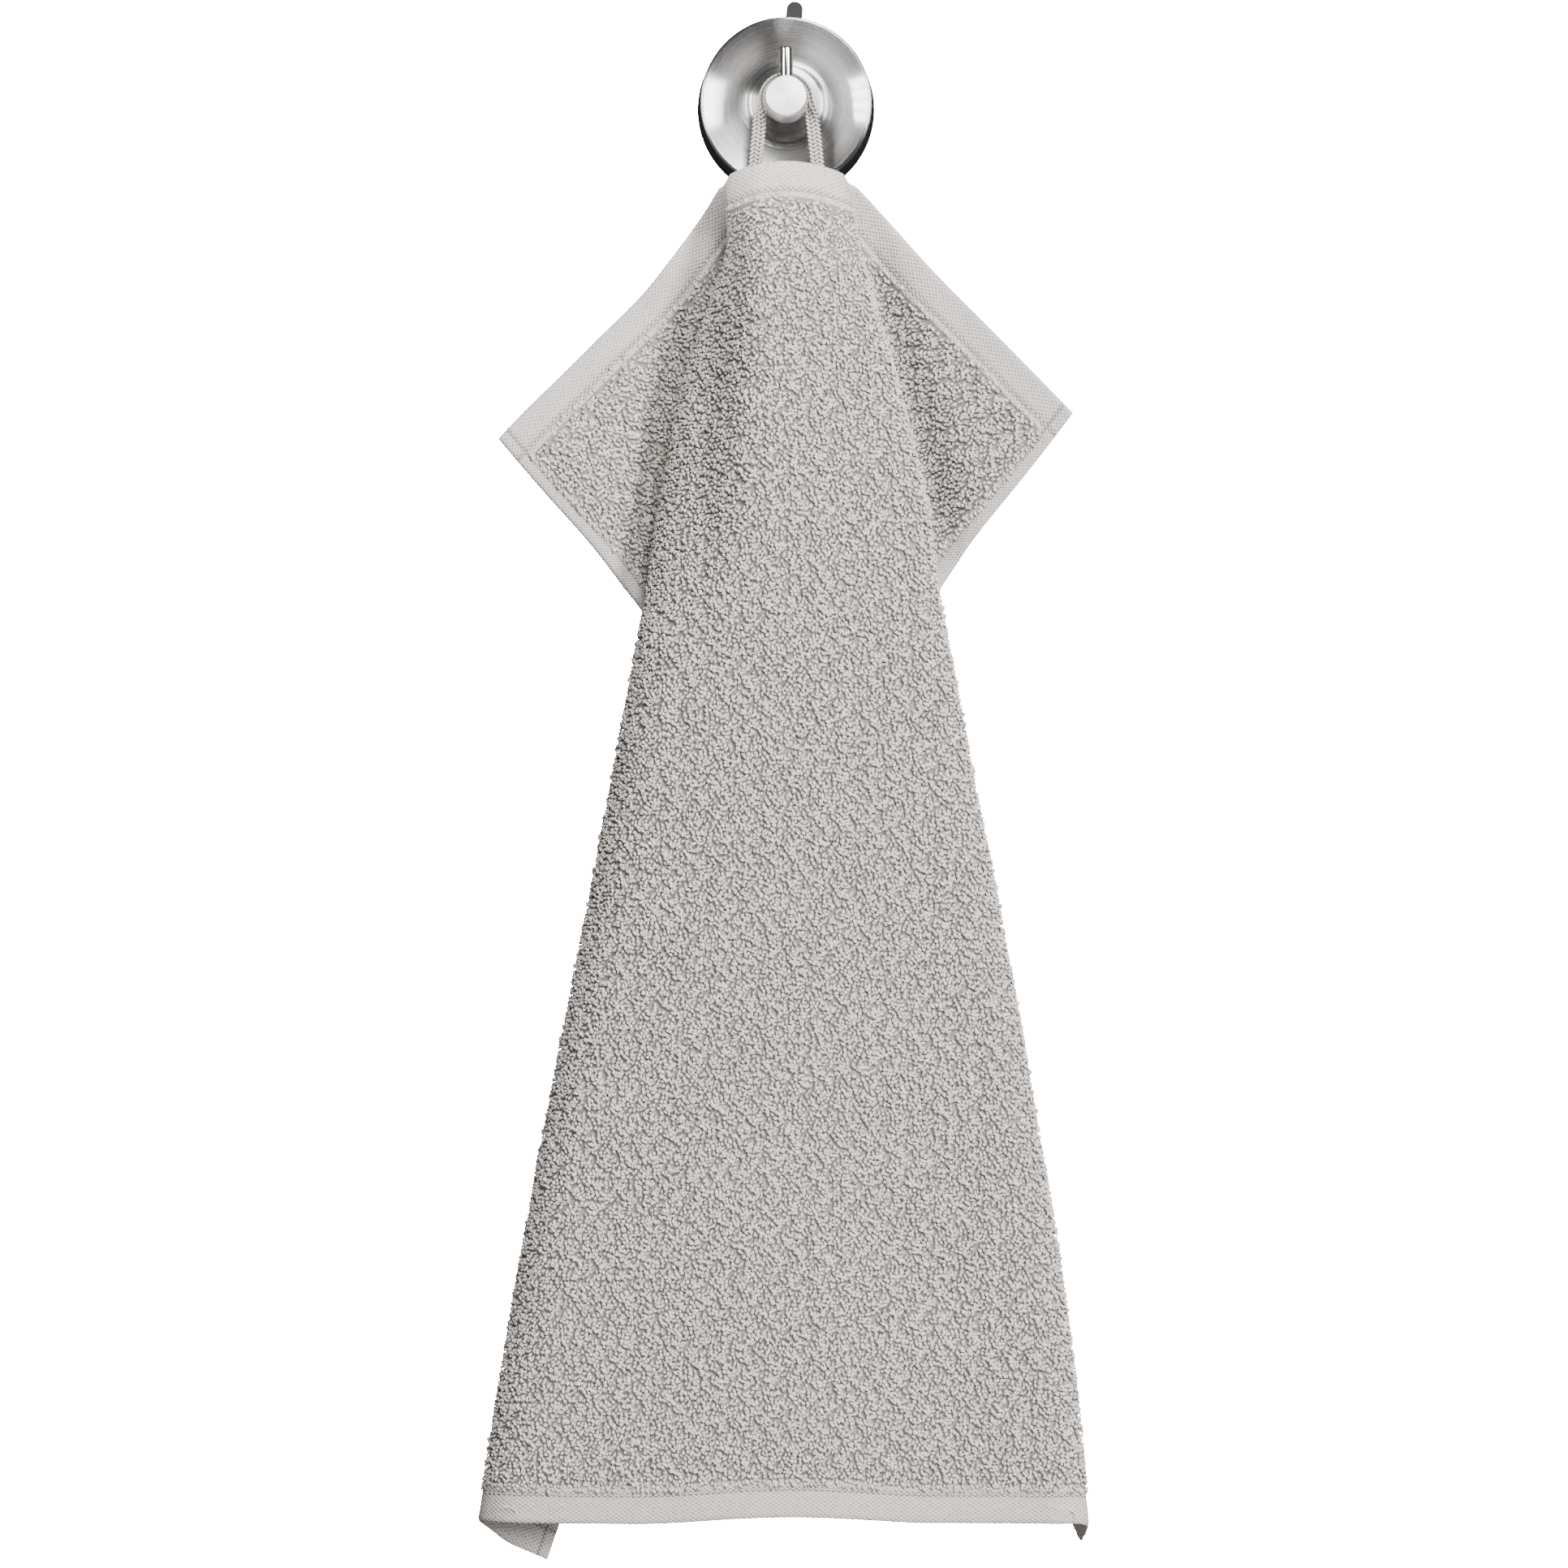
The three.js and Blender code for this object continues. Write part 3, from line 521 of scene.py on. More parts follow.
def tube(points, radius, sides):
    """Points and faces of a thin tube along a line"""
    points = np.asarray(points, float)
    along = unit(np.gradient(points, axis=0))
    side = unit(np.cross(along, np.array([0.0, -1.0, 0.05])))
    other = np.cross(along, side)
    angle = 2 * np.pi * np.arange(sides) / sides
    rings = points[:, None] + radius * (
        side[:, None] * np.cos(angle)[None, :, None] + other[:, None] * np.sin(angle)[None, :, None]
    )
    return rings.reshape(-1, 3), tube_faces(len(points), sides)


def join(parts):
    """One array of points and one of faces from several"""
    points, faces, start = [], [], 0
    for p, f in parts:
        points.append(p)
        faces.append(f + start)
        start += len(p)
    return np.concatenate(points), np.concatenate(faces)


# Hanger loop

KNOB_RADIUS = 7.7
KNOB_GAP = 0.3
TAPE_WIDTH = 5.0
TAPE_THICK = 2.1
TAPE_FRONT = 30.4
TAPE_REACH = 12.3
TAPE_GAP = 0.45
SEWN_DOWN = (0.5, 4, 7.5, 11)
CORE_PITCH = 1.25
CORE_SIDES = 12
CORE_INSET, CORE_SINK = 0.45, 0.35
STITCH_PITCH = 1.5
STITCH_REACH = 1.05
STITCH_COLUMNS = ((-1.65, 1), (0, -1), (1.65, 1))
YARN_RADIUS = 0.43
ARC_RADIUS = KNOB_RADIUS + KNOB_GAP + TAPE_THICK / 2


def hanger_line():
    """Centre line of the tape and the way across it, from behind the hem over the knob"""

    def strand(side):
        half = LEFT if side < 0 else RIGHT
        sewn, ways = [], []
        for v in SEWN_DOWN:
            lean = math.radians(float(column(half.rows, "lean", np.array([v]))[0]))
            u = CREST_X + side * abs(side * TAPE_REACH - CREST_X) / math.cos(lean)
            place, hem_way, _, out = cloth_frame(np.array([u]), np.array([v]))
            sewn.append(place[0] - out[0] * (HEM_HALF + TAPE_GAP + TAPE_THICK / 2))
            ways.append(hem_way[0])
        low = sewn[0]
        leave = math.atan2(low[2], abs(low[0])) + math.acos(ARC_RADIUS / math.hypot(low[0], low[2]))
        top = ARC_RADIUS * np.array([side * math.cos(leave), 0, math.sin(leave)])
        top[1] = -TAPE_FRONT
        points, across = [], []
        for share in np.linspace(0, 1, 17)[1:-1]:
            turn = float(smooth(0, 0.45, share)) * math.pi / 2
            face = np.array([math.sin(turn), -math.cos(turn), 0])
            settle = float(smooth(0.45, 1, share))
            place = top + (low - top) * share
            place[1] = top[1] + (low[1] - top[1]) * float(smooth(0, 1, share))
            points.append(place)
            across.append(unit(face * (1 - settle) + ways[0] * settle))
        return leave, points + sewn, across + ways

    left_leave, left, left_across = strand(-1)
    right_leave, right, right_across = strand(1)
    arc, arc_across = [], []
    for angle in np.linspace(math.pi - left_leave, right_leave, 25):
        arc.append([ARC_RADIUS * math.cos(angle), -TAPE_FRONT, ARC_RADIUS * math.sin(angle)])
        arc_across.append([0.0, -1.0, 0.0])
    line = np.array(left[::-1] + arc + right)
    return line, unit(np.array(left_across[::-1] + arc_across + right_across))


def resample(line, across, pitch):
    """The line and the ways across it at an even pitch, and its length"""
    far = np.concatenate([[0], np.cumsum(np.linalg.norm(np.diff(line, axis=0), axis=1))])
    at = np.linspace(0, far[-1], int(round(far[-1] / pitch)) + 1)

    def pick(rows):
        return np.stack([np.interp(at, far, rows[:, k]) for k in range(3)], -1)

    return pick(line), unit(pick(across)), far[-1]


def tape_axes(line, across, pitch):
    """Points of the tape with its ways along, across and through, and its length"""
    points, wide, length = resample(line, across, pitch)
    along = unit(np.gradient(points, axis=0))
    wide = unit(wide - along * np.sum(wide * along, -1, keepdims=True))
    return points, along, wide, np.cross(along, wide), length


def tape_core(points, wide, thick):
    """The soft core of the tape, a flat oval inside the stitches, with its shades, all dark:
    painted shade in the gaps between the stitches
    """
    angle = 2 * np.pi * np.arange(CORE_SIDES) / CORE_SIDES
    oval = np.stack([np.cos(angle), np.sin(angle)])
    oval = np.sign(oval) * np.abs(oval) ** 0.7
    core = points[:, None] + (
        wide[:, None] * (oval[0] * (TAPE_WIDTH / 2 - CORE_INSET))[None, :, None]
        + thick[:, None] * (oval[1] * (TAPE_THICK / 2 - CORE_SINK))[None, :, None]
    )
    faces = tube_faces(len(points), CORE_SIDES)
    # the core's shade is 0, the darkest: painted shade in the gaps between the stitches
    return (core.reshape(-1, 3), faces), np.zeros(len(points) * CORE_SIDES)


def tape_stitches(line, across):
    """Rows of short yarns on both faces of the tape, leaning to and fro, with their shades, darker
    at the ends: painted shade where each yarn goes into the tape
    """
    parts, shades = [], []
    places, lengthwise, sideways, through = tape_axes(line, across, STITCH_PITCH)[:4]
    t = np.linspace(-1, 1, 6)[:, None]
    for i in range(1, len(places) - 1):
        for face in (1, -1):
            for column_place, slant in STITCH_COLUMNS:
                bow = through[i] * face
                middle = places[i] + sideways[i] * column_place + bow * (TAPE_THICK / 2 - 0.5)
                reach = unit(sideways[i] * slant * 0.72 + lengthwise[i] * 0.7) * STITCH_REACH
                yarn = middle + reach * t + bow * 0.14 * (1 - t * t)
                parts.append(tube(yarn, YARN_RADIUS, 6))
                # darker towards both ends: painted shade where the yarn dips into the tape
                shades.append(np.repeat(0.95 - 0.6 * t[:, 0] ** 2, 6))
    return parts, shades


def make_hanger_loop():
    """A flat knitted tape: a soft core, and rows of stitches that lean to and fro"""
    line, across = hanger_line()
    points, _, wide, thick, length = tape_axes(line, across, CORE_PITCH)
    core, core_shade = tape_core(points, wide, thick)
    stitches, stitch_shades = tape_stitches(line, across)
    mesh_points, mesh_faces = join([core] + stitches)
    shade = np.concatenate([core_shade] + stitch_shades)
    made = mesh_object("hanger_loop_knit", mesh_points, mesh_faces, TAPE_YARN, shade=shade)
    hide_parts("hanger_loop")
    return made


loop = make_hanger_loop()

# Cloth


def grid_lines(low, high, pitch, extra):
    """Positions along one way of the cloth, closer together in the stretches of extra"""
    lines = [low]
    while lines[-1] < high:
        at = lines[-1]
        step = min([pitch] + [p for a, b, p in extra if a <= at < b])
        lines.append(at + step)
    lines[-1] = high
    return np.array(lines)


# A face whose way out leans towards the wall by more than this is out of view
IN_VIEW_LEAN = 0.25

ACROSS_PITCH, DOWN_PITCH = 2.1, 3.6
HEM_PITCH, SHOULDER_PITCH, TOP_PITCH = 0.9, 1.2, 1.9


def cloth_lines():
    """Where the cloth's grid has its lines: closer together at the hems and the shoulders"""
    side_fine = SIDE_HEM + 1
    across = grid_lines(
        U_LEFT,
        U_RIGHT,
        ACROSS_PITCH,
        (
            (U_LEFT, U_LEFT + side_fine, HEM_PITCH),
            (U_RIGHT - side_fine, U_RIGHT, HEM_PITCH),
            (LEFT_SHOULDER - 16, LEFT_SHOULDER + 3, SHOULDER_PITCH),
            (RIGHT_SHOULDER - 3, RIGHT_SHOULDER + 16, SHOULDER_PITCH),
        ),
    )
    end_fine = END_HEM + 1.5
    down = grid_lines(
        0,
        LENGTH,
        DOWN_PITCH,
        (
            (0, end_fine, HEM_PITCH),
            (end_fine, 60, TOP_PITCH),
            (LENGTH - end_fine, LENGTH, HEM_PITCH),
        ),
    )
    return across, down


def seam_share(u, v):
    """1 along the sewn lines of the hems, and 0 away from them"""
    to_end, to_side = from_edges(u, v)
    end_seam = np.exp(-(((to_end - END_SEAM) / END_SEAM_WIDTH) ** 2))
    side_seam = np.exp(-(((to_side - SIDE_SEAM) / SIDE_SEAM_WIDTH) ** 2))
    return np.clip((end_seam + side_seam) * hem_share(u, v), 0, 1)


def ground_half(u, v):
    """Half the ground's thickness: more in the hems, less at edges, seams and shoulders"""
    in_hem = hem_share(u, v)
    edge = np.minimum(*from_edges(u, v))
    half = (GROUND_HALF + (HEM_HALF - GROUND_HALF) * in_hem) * kept_thickness(u, v)
    half = half * (0.45 + 0.55 * smooth(0, 1.0, edge))
    half = half * (1 - SEAM_DENT * seam_share(u, v))
    pucker = 0.22 * in_hem * np.sin((u + v) * 0.9 + 2 * np.sin(u * 0.13)) * smooth(0, 4, edge)
    return half + 0.175 * np.abs(pucker)


def sheet_faces(rows, cols):
    """Four-sided faces of a closed sheet's front, back and rim. The points of the back are
    numbered after those of the front."""
    count = rows * cols
    index = np.arange(count).reshape(rows, cols)
    corners = (index[:-1, :-1], index[:-1, 1:], index[1:, 1:], index[1:, :-1])
    front = np.stack([corner.ravel() for corner in corners], -1)
    ring = np.concatenate([index[:, 0], index[-1, 1:], index[-2::-1, -1], index[0, -2:0:-1]])
    after = np.roll(ring, -1)
    rim = np.stack([ring, after, after + count, ring + count], -1)
    return front, front[:, ::-1] + count, rim


def face_middles(grid):
    """A value at the middle of each face of a grid, from its four corners"""
    return 0.25 * (grid[:-1, :-1] + grid[1:, :-1] + grid[1:, 1:] + grid[:-1, 1:]).ravel()


def cloth_slots(u, v, out, rim_count):
    """The finish of each face, as its number in CLOTH_FINISHES"""
    to_end, to_side = from_edges(face_middles(u), face_middles(v))
    kind = np.where(to_end < END_HEM + 0.3, 1, np.where(to_side < SIDE_HEM + 0.3, 2, 0))
    hidden = face_middles(out[..., 1]) > IN_VIEW_LEAN
    front_kind = np.where((kind == 0) & hidden, 3, kind)
    back_kind = np.where(kind == 0, 3, kind)
    return np.concatenate([front_kind, back_kind, np.ones(rim_count, int)])


CLOTH_FINISHES = [GROUND_PAINTED_SHADE, END_WEAVE, SIDE_WEAVE, BACK_GROUND_PAINTED_SHADE]


def make_cloth():
    """The ground of the cloth and its hems, as one closed sheet"""
    u, v = np.meshgrid(*cloth_lines(), indexing="ij")
    place, _, _, out = cloth_frame(u, v)
    offset = out * ground_half(u, v)[..., None]
    front, back, rim = sheet_faces(*u.shape)
    uv = np.stack([u.ravel(), v.ravel()], -1) * MM
    return mesh_object(
        "towel_cloth",
        np.stack([place + offset, place - offset]).reshape(-1, 3),
        np.concatenate([front, back, rim]),
        CLOTH_FINISHES,
        uv=np.concatenate([uv, uv]),
        # the seams' darker line: painted shade in their groove
        shade=np.tile(seam_share(u, v).ravel(), 2),
        slots=cloth_slots(u, v, out, len(rim)),
    )


PIT_PITCH = 8.3
PIT_RADIUS = 1.1

# Each loop of the pile, and how much loops differ: how far it strays from its place, how far
# it stretches and the most that it stands up, its girth and its lean in degrees
LOOP_STRAY = 0.22
LOOP_HEIGHT, HEIGHT_SPREAD = 2.0, 0.22
MOST_HEIGHT = 1.7
LOOP_GIRTH, GIRTH_SPREAD = 0.66, 0.07
LOOP_LEAN, LEAN_SPREAD = 50, 11
LOOP_SIDES = 3
PILE_BANDS = (0, 128, 215, 290, 362, 430, LENGTH)


def pits(u, v):
    """Vector from the nearest pit of the pile, where the loops part, and its distance"""
    best = np.full(u.shape, 1e9)
    away = np.zeros(u.shape + (2,))
    for shift in (0, PIT_PITCH / 2):
        du = (u - shift + PIT_PITCH / 2) % PIT_PITCH - PIT_PITCH / 2
        dv = (v - shift + PIT_PITCH / 2) % PIT_PITCH - PIT_PITCH / 2
        far = np.hypot(du, dv)
        nearer = far < best
        best = np.where(nearer, far, best)
        away = np.where(nearer[..., None], np.stack([du, dv], -1), away)
    return away, best


def scatter_loops(pitch, band, keep, size):
    """Where loops stand on the flat cloth: in staggered rows, strayed, pushed off the pits and
    clear of the hems. Also how far the pile is parted there, the push, and the distances to
    the four hems."""
    us = np.arange(U_LEFT, U_RIGHT, pitch[0])
    vs = np.arange(band[0], band[1], pitch[1])
    u, v = np.meshgrid(us, vs, indexing="ij")
    u = u + (np.arange(len(vs)) % 2) * pitch[0] / 2
    u, v = u.ravel(), v.ravel()
    u = u + RNG.normal(0, LOOP_STRAY, u.size) * size
    v = v + RNG.normal(0, LOOP_STRAY, v.size) * size
    away, near_pit = pits(u, v)
    parted = np.exp(-((near_pit / PIT_RADIUS) ** 2))
    push = away / np.maximum(near_pit, 0.3)[:, None] * (0.3 * parted)[:, None]
    u, v = u + push[:, 0], v + push[:, 1]
    wander = RNG.normal(0, 0.35, u.size) + 0.4 * np.sin(u * 0.31 + 2 * np.sin(u * 0.07))
    hems = np.array([[SIDE_HEM, SIDE_HEM, END_HEM, END_HEM]]).T
    ends = np.stack([u - U_LEFT, U_RIGHT - u, v, LENGTH - v]) - hems
    inside = (ends.min(axis=0) > wander - 0.2) & keep(u, v)
    return u[inside], v[inside], parted[inside], push[inside], ends[:, inside]


def loop_way(u, v, across, down, push, ends):
    """Which way each loop lies: down the cloth in tufts, turned with the yarn's twist, out of
    the pits and over the inner edges of the hems"""
    tufts = 0.8 * np.sin(u * 0.69 + 1.7 * np.sin(v * 0.48))
    rows = 0.6 * np.sin(v * 0.82 + 2 * np.sin(u * 0.37))
    swing = tufts + rows + RNG.normal(0, 0.35, u.size)
    spill = 2.2 * np.exp(-np.maximum(ends, 0) / 1.2)
    side_way = np.sin(swing) + 2 * push[:, 0] + spill[1] - spill[0]
    down_way = np.cos(swing) + 0.15 + 2 * push[:, 1] + spill[3] - spill[2]
    return unit(across * side_way[:, None] + down * down_way[:, None])


def strands(root, middle, tip, wide, fat, tone_and_painted_shade):
    """Points, triangles and shades of strands with a ring at root and middle and a sharp tip"""
    first, second = unit(middle - root), unit(tip - middle)
    twist = math.pi / 2 + RNG.normal(0, 0.35, len(root))
    # The last number of each ring is painted shade: dark at the root, where the loops shade each
    # other, lighter towards the tip.
    rings = ((root, first, 0.85, 0.05), (middle, unit(first + second), 1.15, 0.85))
    points, shades = [], []
    for centre, along, girth, shade in rings:
        deep = np.cross(wide, along)
        for k in range(LOOP_SIDES):
            angle = twist + 2 * np.pi * k / LOOP_SIDES
            cos, sin = np.cos(angle)[:, None], np.sin(angle)[:, None]
            points.append(centre + (wide * cos * 1.15 + deep * sin * 0.85) * fat * girth)
            shades.append(np.clip(shade + tone_and_painted_shade, 0, 1))
    points.append(tip)
    shades.append(np.clip(0.95 + tone_and_painted_shade, 0, 1))
    pattern = []
    for k in range(LOOP_SIDES):
        n = (k + 1) % LOOP_SIDES
        above, above_n = LOOP_SIDES + k, LOOP_SIDES + n
        pattern += [(k, n, above_n), (k, above_n, above), (above, above_n, 2 * LOOP_SIDES)]
    starts = np.arange(len(root)) * len(points)
    faces = starts[:, None, None] + np.array(pattern)[None]
    points = np.stack(points, 1).reshape(-1, 3)
    return points, faces.reshape(-1, 3), np.stack(shades, 1).ravel()


def make_pile(name, face, pitch, band, keep, size=1.0):
    """Terry loops as bent, tapered strands, in one piece. face is 1 in front, -1 behind."""
    u, v, parted, push, ends = scatter_loops(pitch, band, keep, size)
    place, across, down, out = cloth_frame(u, v)
    out = out * face
    free = 0.42 + 0.58 * pinch(u, v)
    flat = loop_way(u, v, across, down, push, ends)
    lean = np.radians(np.clip(RNG.normal(LOOP_LEAN, LEAN_SPREAD, u.size), 15, 70))
    tall = RNG.normal(LOOP_HEIGHT, HEIGHT_SPREAD, u.size) * size
    reach = (tall * 1.55 * np.sin(lean))[:, None]
    height = (tall * np.cos(lean * 0.75) * free)[:, None]
    height = np.minimum(height, MOST_HEIGHT * size * free[:, None])
    root = place + out * 0.1
    middle = root + out * height * 0.88 + flat * reach * 0.42
    tip = root + out * height * 0.62 + flat * reach
    girths = RNG.normal(LOOP_GIRTH, GIRTH_SPREAD, u.size)
    fat = (girths * size * (0.75 + 0.25 * free))[:, None]
    # Each loop's tone differs at random; loops beside a pit are darker, which is painted shade in
    # the pits.
    tone_and_painted_shade = RNG.normal(0, 0.13, u.size) - 0.25 * parted
    wide = unit(np.cross(flat, out))
    points, faces, shades = strands(root, middle, tip, wide, fat, tone_and_painted_shade)
    return mesh_object(name, points, faces, PILE, shade=shades)


def in_view(u, v):
    """True on the stretches of the front face that face away from the wall"""
    return cloth_frame(u, v)[3][:, 1] < IN_VIEW_LEAN


def out_of_view(u, v):
    return ~in_view(u, v)


def always(u, v):
    return np.ones(u.shape, bool)


def make_piles():
    """The pile in bands down the front, in the folds and on the back"""
    made = []
    for i, band in enumerate(zip(PILE_BANDS[:-1], PILE_BANDS[1:])):
        made.append(make_pile("front_pile_%d" % (i + 1), 1, (1.38, 1.34), band, in_view))
    made.append(make_pile("folded_pile", 1, (2.4, 2.2), (0, LENGTH), out_of_view, 1.35))
    made.append(make_pile("back_pile", -1, (2.9, 2.7), (0, LENGTH), always, 1.5))
    return made


# Pitch and length of the stitches along the end hems and the side hems
END_STITCH, SIDE_STITCH = (2.3, 1.55), (2.6, 1.75)


def make_stitches():
    """Seams along the hems, as short raised dashes on both faces"""
    runs = []
    for v in (END_SEAM, LENGTH - END_SEAM):
        us = np.arange(U_LEFT + 3, U_RIGHT - 3, END_STITCH[0])
        runs.append((us, np.full_like(us, v), us + END_STITCH[1], np.full_like(us, v)))
    for u in (U_LEFT + SIDE_SEAM, U_RIGHT - SIDE_SEAM):
        vs = np.arange(14, LENGTH - 14, SIDE_STITCH[0])
        runs.append((np.full_like(vs, u), vs, np.full_like(vs, u), vs + SIDE_STITCH[1]))
    parts = []
    for u0, v0, u1, v1 in runs:
        for face in (1, -1):
            lines = []
            for t, high in ((0, -0.1), (0.3, 0.16), (0.7, 0.16), (1, -0.1)):
                u, v = u0 + (u1 - u0) * t, v0 + (v1 - v0) * t
                place, _, _, out = cloth_frame(u, v)
                half = HEM_HALF * (1 - SEAM_DENT) * kept_thickness(u, v)
                lines.append(place + out * face * (half + high)[:, None])
            lines = np.stack(lines, 1)
            parts += [tube(line, 0.2, 4) for line in lines]
    points, faces = join(parts)
    return mesh_object("hem_stitches", points, faces, THREAD)


def make_stray_threads():
    """Short loose yarns at the top hem's crease, at both foot corners and at the foot"""
    parts = []
    starts = (
        (-9, 14, (-3, -2.5, -5), 0.2),
        (-6, 15, (4, -1.5, -3.5), 0.18),
        (-99, 494, (-6, -1, 3.5), 0.2),
        (104, 492, (3.5, -1.5, -4.5), 0.2),
        (30, 496, (2, -1, -4), 0.16),
    )
    for u, v, reach, radius in starts:
        place, _, _, out = cloth_frame(np.array([float(u)]), np.array([float(v)]))
        base = place[0] + out[0] * 0.9
        t = np.linspace(0, 1, 9)[:, None]
        bend = np.array([1.0, 0.0, 1.2]) * np.sin(t * np.pi) * 0.9
        parts.append(tube(base + np.array(reach) * t + bend, radius, 6))
    points, faces = join(parts)
    return mesh_object("stray_threads", points, faces, THREAD)


cloth = make_cloth()
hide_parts("towel")
on_cloth = make_piles() + [make_stitches(), make_stray_threads()]

# Hook

UV_RADIUS = 0.04


def turned(name, profile, material, node, steps=160):
    """A body turned about the hook's axis. The profile gives radius and distance from the wall."""
    bm = bmesh.new()
    verts = [bm.verts.new((radius * MM, -front * MM, 0)) for radius, front in profile]
    edges = [bm.edges.new(pair) for pair in zip(verts, verts[1:])]
    bmesh.ops.spin(
        bm,
        geom=verts + edges,
        cent=(0, 0, 0),
        axis=(0, 1, 0),
        angle=2 * math.pi,
        steps=steps,
        use_merge=True,
    )
    bmesh.ops.remove_doubles(bm, verts=bm.verts, dist=1e-7)
    made = bmesh_object(name, bm, material)
    layer = made.data.uv_layers.new(name="round")
    for polygon in made.data.polygons:
        middle = polygon.center
        base = math.atan2(middle.z, middle.x)
        for loop_index in polygon.loop_indices:
            place = made.data.vertices[made.data.loops[loop_index].vertex_index].co
            radius = math.hypot(place.x, place.z)
            angle = base if radius < 1e-6 else math.atan2(place.z, place.x)
            angle += 2 * math.pi * round((base - angle) / (2 * math.pi))
            layer.data[loop_index].uv = (angle / (2 * math.pi), radius / UV_RADIUS)
    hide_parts(node)
    return made


def rounded(corners, radius, steps=4):
    """A profile with its inner corners rounded off"""
    points = [corners[0]]
    for before, corner, after in zip(corners, corners[1:], corners[2:]):
        b, c, a = (np.array(p, float) for p in (before, corner, after))
        cut = min(radius, 0.4 * np.linalg.norm(b - c), 0.4 * np.linalg.norm(a - c))
        start, end = c + unit(b - c) * cut, c + unit(a - c) * cut
        for t in np.linspace(0, 1, steps):
            points.append(tuple((1 - t) ** 2 * start + 2 * t * (1 - t) * c + t * t * end))
    return points + [corners[-1]]


def brushed_steel(name, level, roughness, anisotropy, ring_pitch, contrast):
    """Steel brushed in circles round the hook's axis, in rings that fade in and out"""
    material = new_material(
        name, grey(level, 0.008), roughness, 1.0, Anisotropic=anisotropy, Anisotropic_Rotation=0.25
    )
    tangent = add_node(material, "ShaderNodeTangent", direction_type="UV_MAP", uv_map="round")
    link_shader(material, "Tangent", tangent.outputs[0])
    place = add_node(material, "ShaderNodeTexCoord").outputs["Object"]
    across = {0: place, 1: (1, 0, 1)}
    flat = add_node(material, "ShaderNodeVectorMath", across, operation="MULTIPLY")
    radius = add_node(material, "ShaderNodeVectorMath", {0: flat.outputs[0]}, operation="LENGTH")
    along = math_node(material, "DIVIDE", radius.outputs["Value"], ring_pitch)
    inputs = {"Vector": flat.outputs[0], "W": along, "Scale": 1, "Detail": 3, "Roughness": 0.75}
    streak = add_node(material, "ShaderNodeTexNoise", inputs, noise_dimensions="4D").outputs["Fac"]
    add_bump(material, streak, 0.1, 0.0001)
    colors = ((0.3, grey(level * (1 - contrast), 0.008)), (0.7, grey(level, 0.008)))
    link_shader(material, "Base Color", ramp(material, streak, colors))
    return material


DISC_STEEL = brushed_steel("disc_steel", 0.5, 0.27, 0.95, 0.0009, 0.55)
KNOB_STEEL = brushed_steel("knob_steel", 0.95, 0.45, 0.3, 0.0006, 0.1)
PIN_STEEL = new_material("pin_steel", grey(0.6, 0.02), 0.16, 1.0)
RUBBER = new_material("black_rubber", (0.008, 0.009, 0.01), 0.5, Specular_IOR_Level=0.25)

# Profiles from the middle outwards, as radius and distance from the wall
BOSS = ((0, 21.6), (8.6, 21.4), (13.4, 21.0), (14.4, 20.2), (14.7, 18.1), (16.6, 18.0))
DISH = ((17.3, 18.4), (30.9, 23.95), (31.8, 23.4), (31.8, 21.5), (30.9, 21.5))
DISC_BACK = ((30.7, 22.0), (17.0, 16.5), (13.2, 16.5), (12.8, 19.4), (0, 19.4))
KNOB_NECK = ((0, 21.9), (6.6, 21.9), (6.6, 22.6))
KNOB_BAR = ((7.7, 22.6), (7.7, 42.8), (7.2, 43.3), (0, 43.3))
CUP_LIP = ((0, 0), (33.2, 0), (33.2, 1.7), (32.2, 3.4), (31.4, 7))
CUP_FRONT = ((31.4, 21.1), (29.9, 21.1), (29.9, 20.5), (17, 15.6), (0, 15.6))

turned("disc", rounded(BOSS + DISH + DISC_BACK, 0.35), DISC_STEEL, "cover_disc")
turned("hook_knob", rounded(KNOB_NECK + KNOB_BAR, 0.22), KNOB_STEEL, "knob")
turned("rubber_cup", rounded(CUP_LIP + CUP_FRONT, 0.5), RUBBER, "suction_cup")


TAB_HALF = 3.1
TAB_FOOT = 27
TAB_TOP = 37.4
TAB_BACK = 0.6
TAB_THICK = 3
TAB_LEAN = 5


def make_pull_tab():
    """The cup's pull tab, with a round top, leaning a little to the right"""
    bm = bmesh.new()
    corners = [(-TAB_HALF, TAB_FOOT), (TAB_HALF, TAB_FOOT), (TAB_HALF, TAB_TOP)]
    for angle in np.linspace(0.2, math.pi - 0.2, 14):
        corners.append((TAB_HALF * math.cos(angle), TAB_TOP + TAB_HALF * math.sin(angle)))
    corners += [(-TAB_HALF, TAB_TOP)]
    face = bm.faces.new([bm.verts.new((x * MM, -TAB_BACK * MM, z * MM)) for x, z in corners])
    grown = bmesh.ops.extrude_face_region(bm, geom=[face])
    moved = [g for g in grown["geom"] if isinstance(g, bmesh.types.BMVert)]
    bmesh.ops.translate(bm, verts=moved, vec=(0, -TAB_THICK * MM, 0))
    rim = [e for e in bm.edges if e.calc_face_angle(0) > 1.0]
    bmesh.ops.bevel(
        bm, geom=rim, offset=0.5 * MM, segments=2, profile=0.5, affect="EDGES", material=-1
    )
    lean = Matrix.Rotation(math.radians(TAB_LEAN), 3, "Y")
    bmesh.ops.rotate(bm, verts=bm.verts, cent=(0, 0, 0), matrix=lean)
    return bmesh_object("pull_tab", bm, RUBBER, smooth_faces=False)


make_pull_tab()


PIN_FRONT = 38
PIN_PROFILE = ((0, 4.0), (2.5, 4.0), (2.5, 18.1), (2.0, 18.6), (0, 18.6))


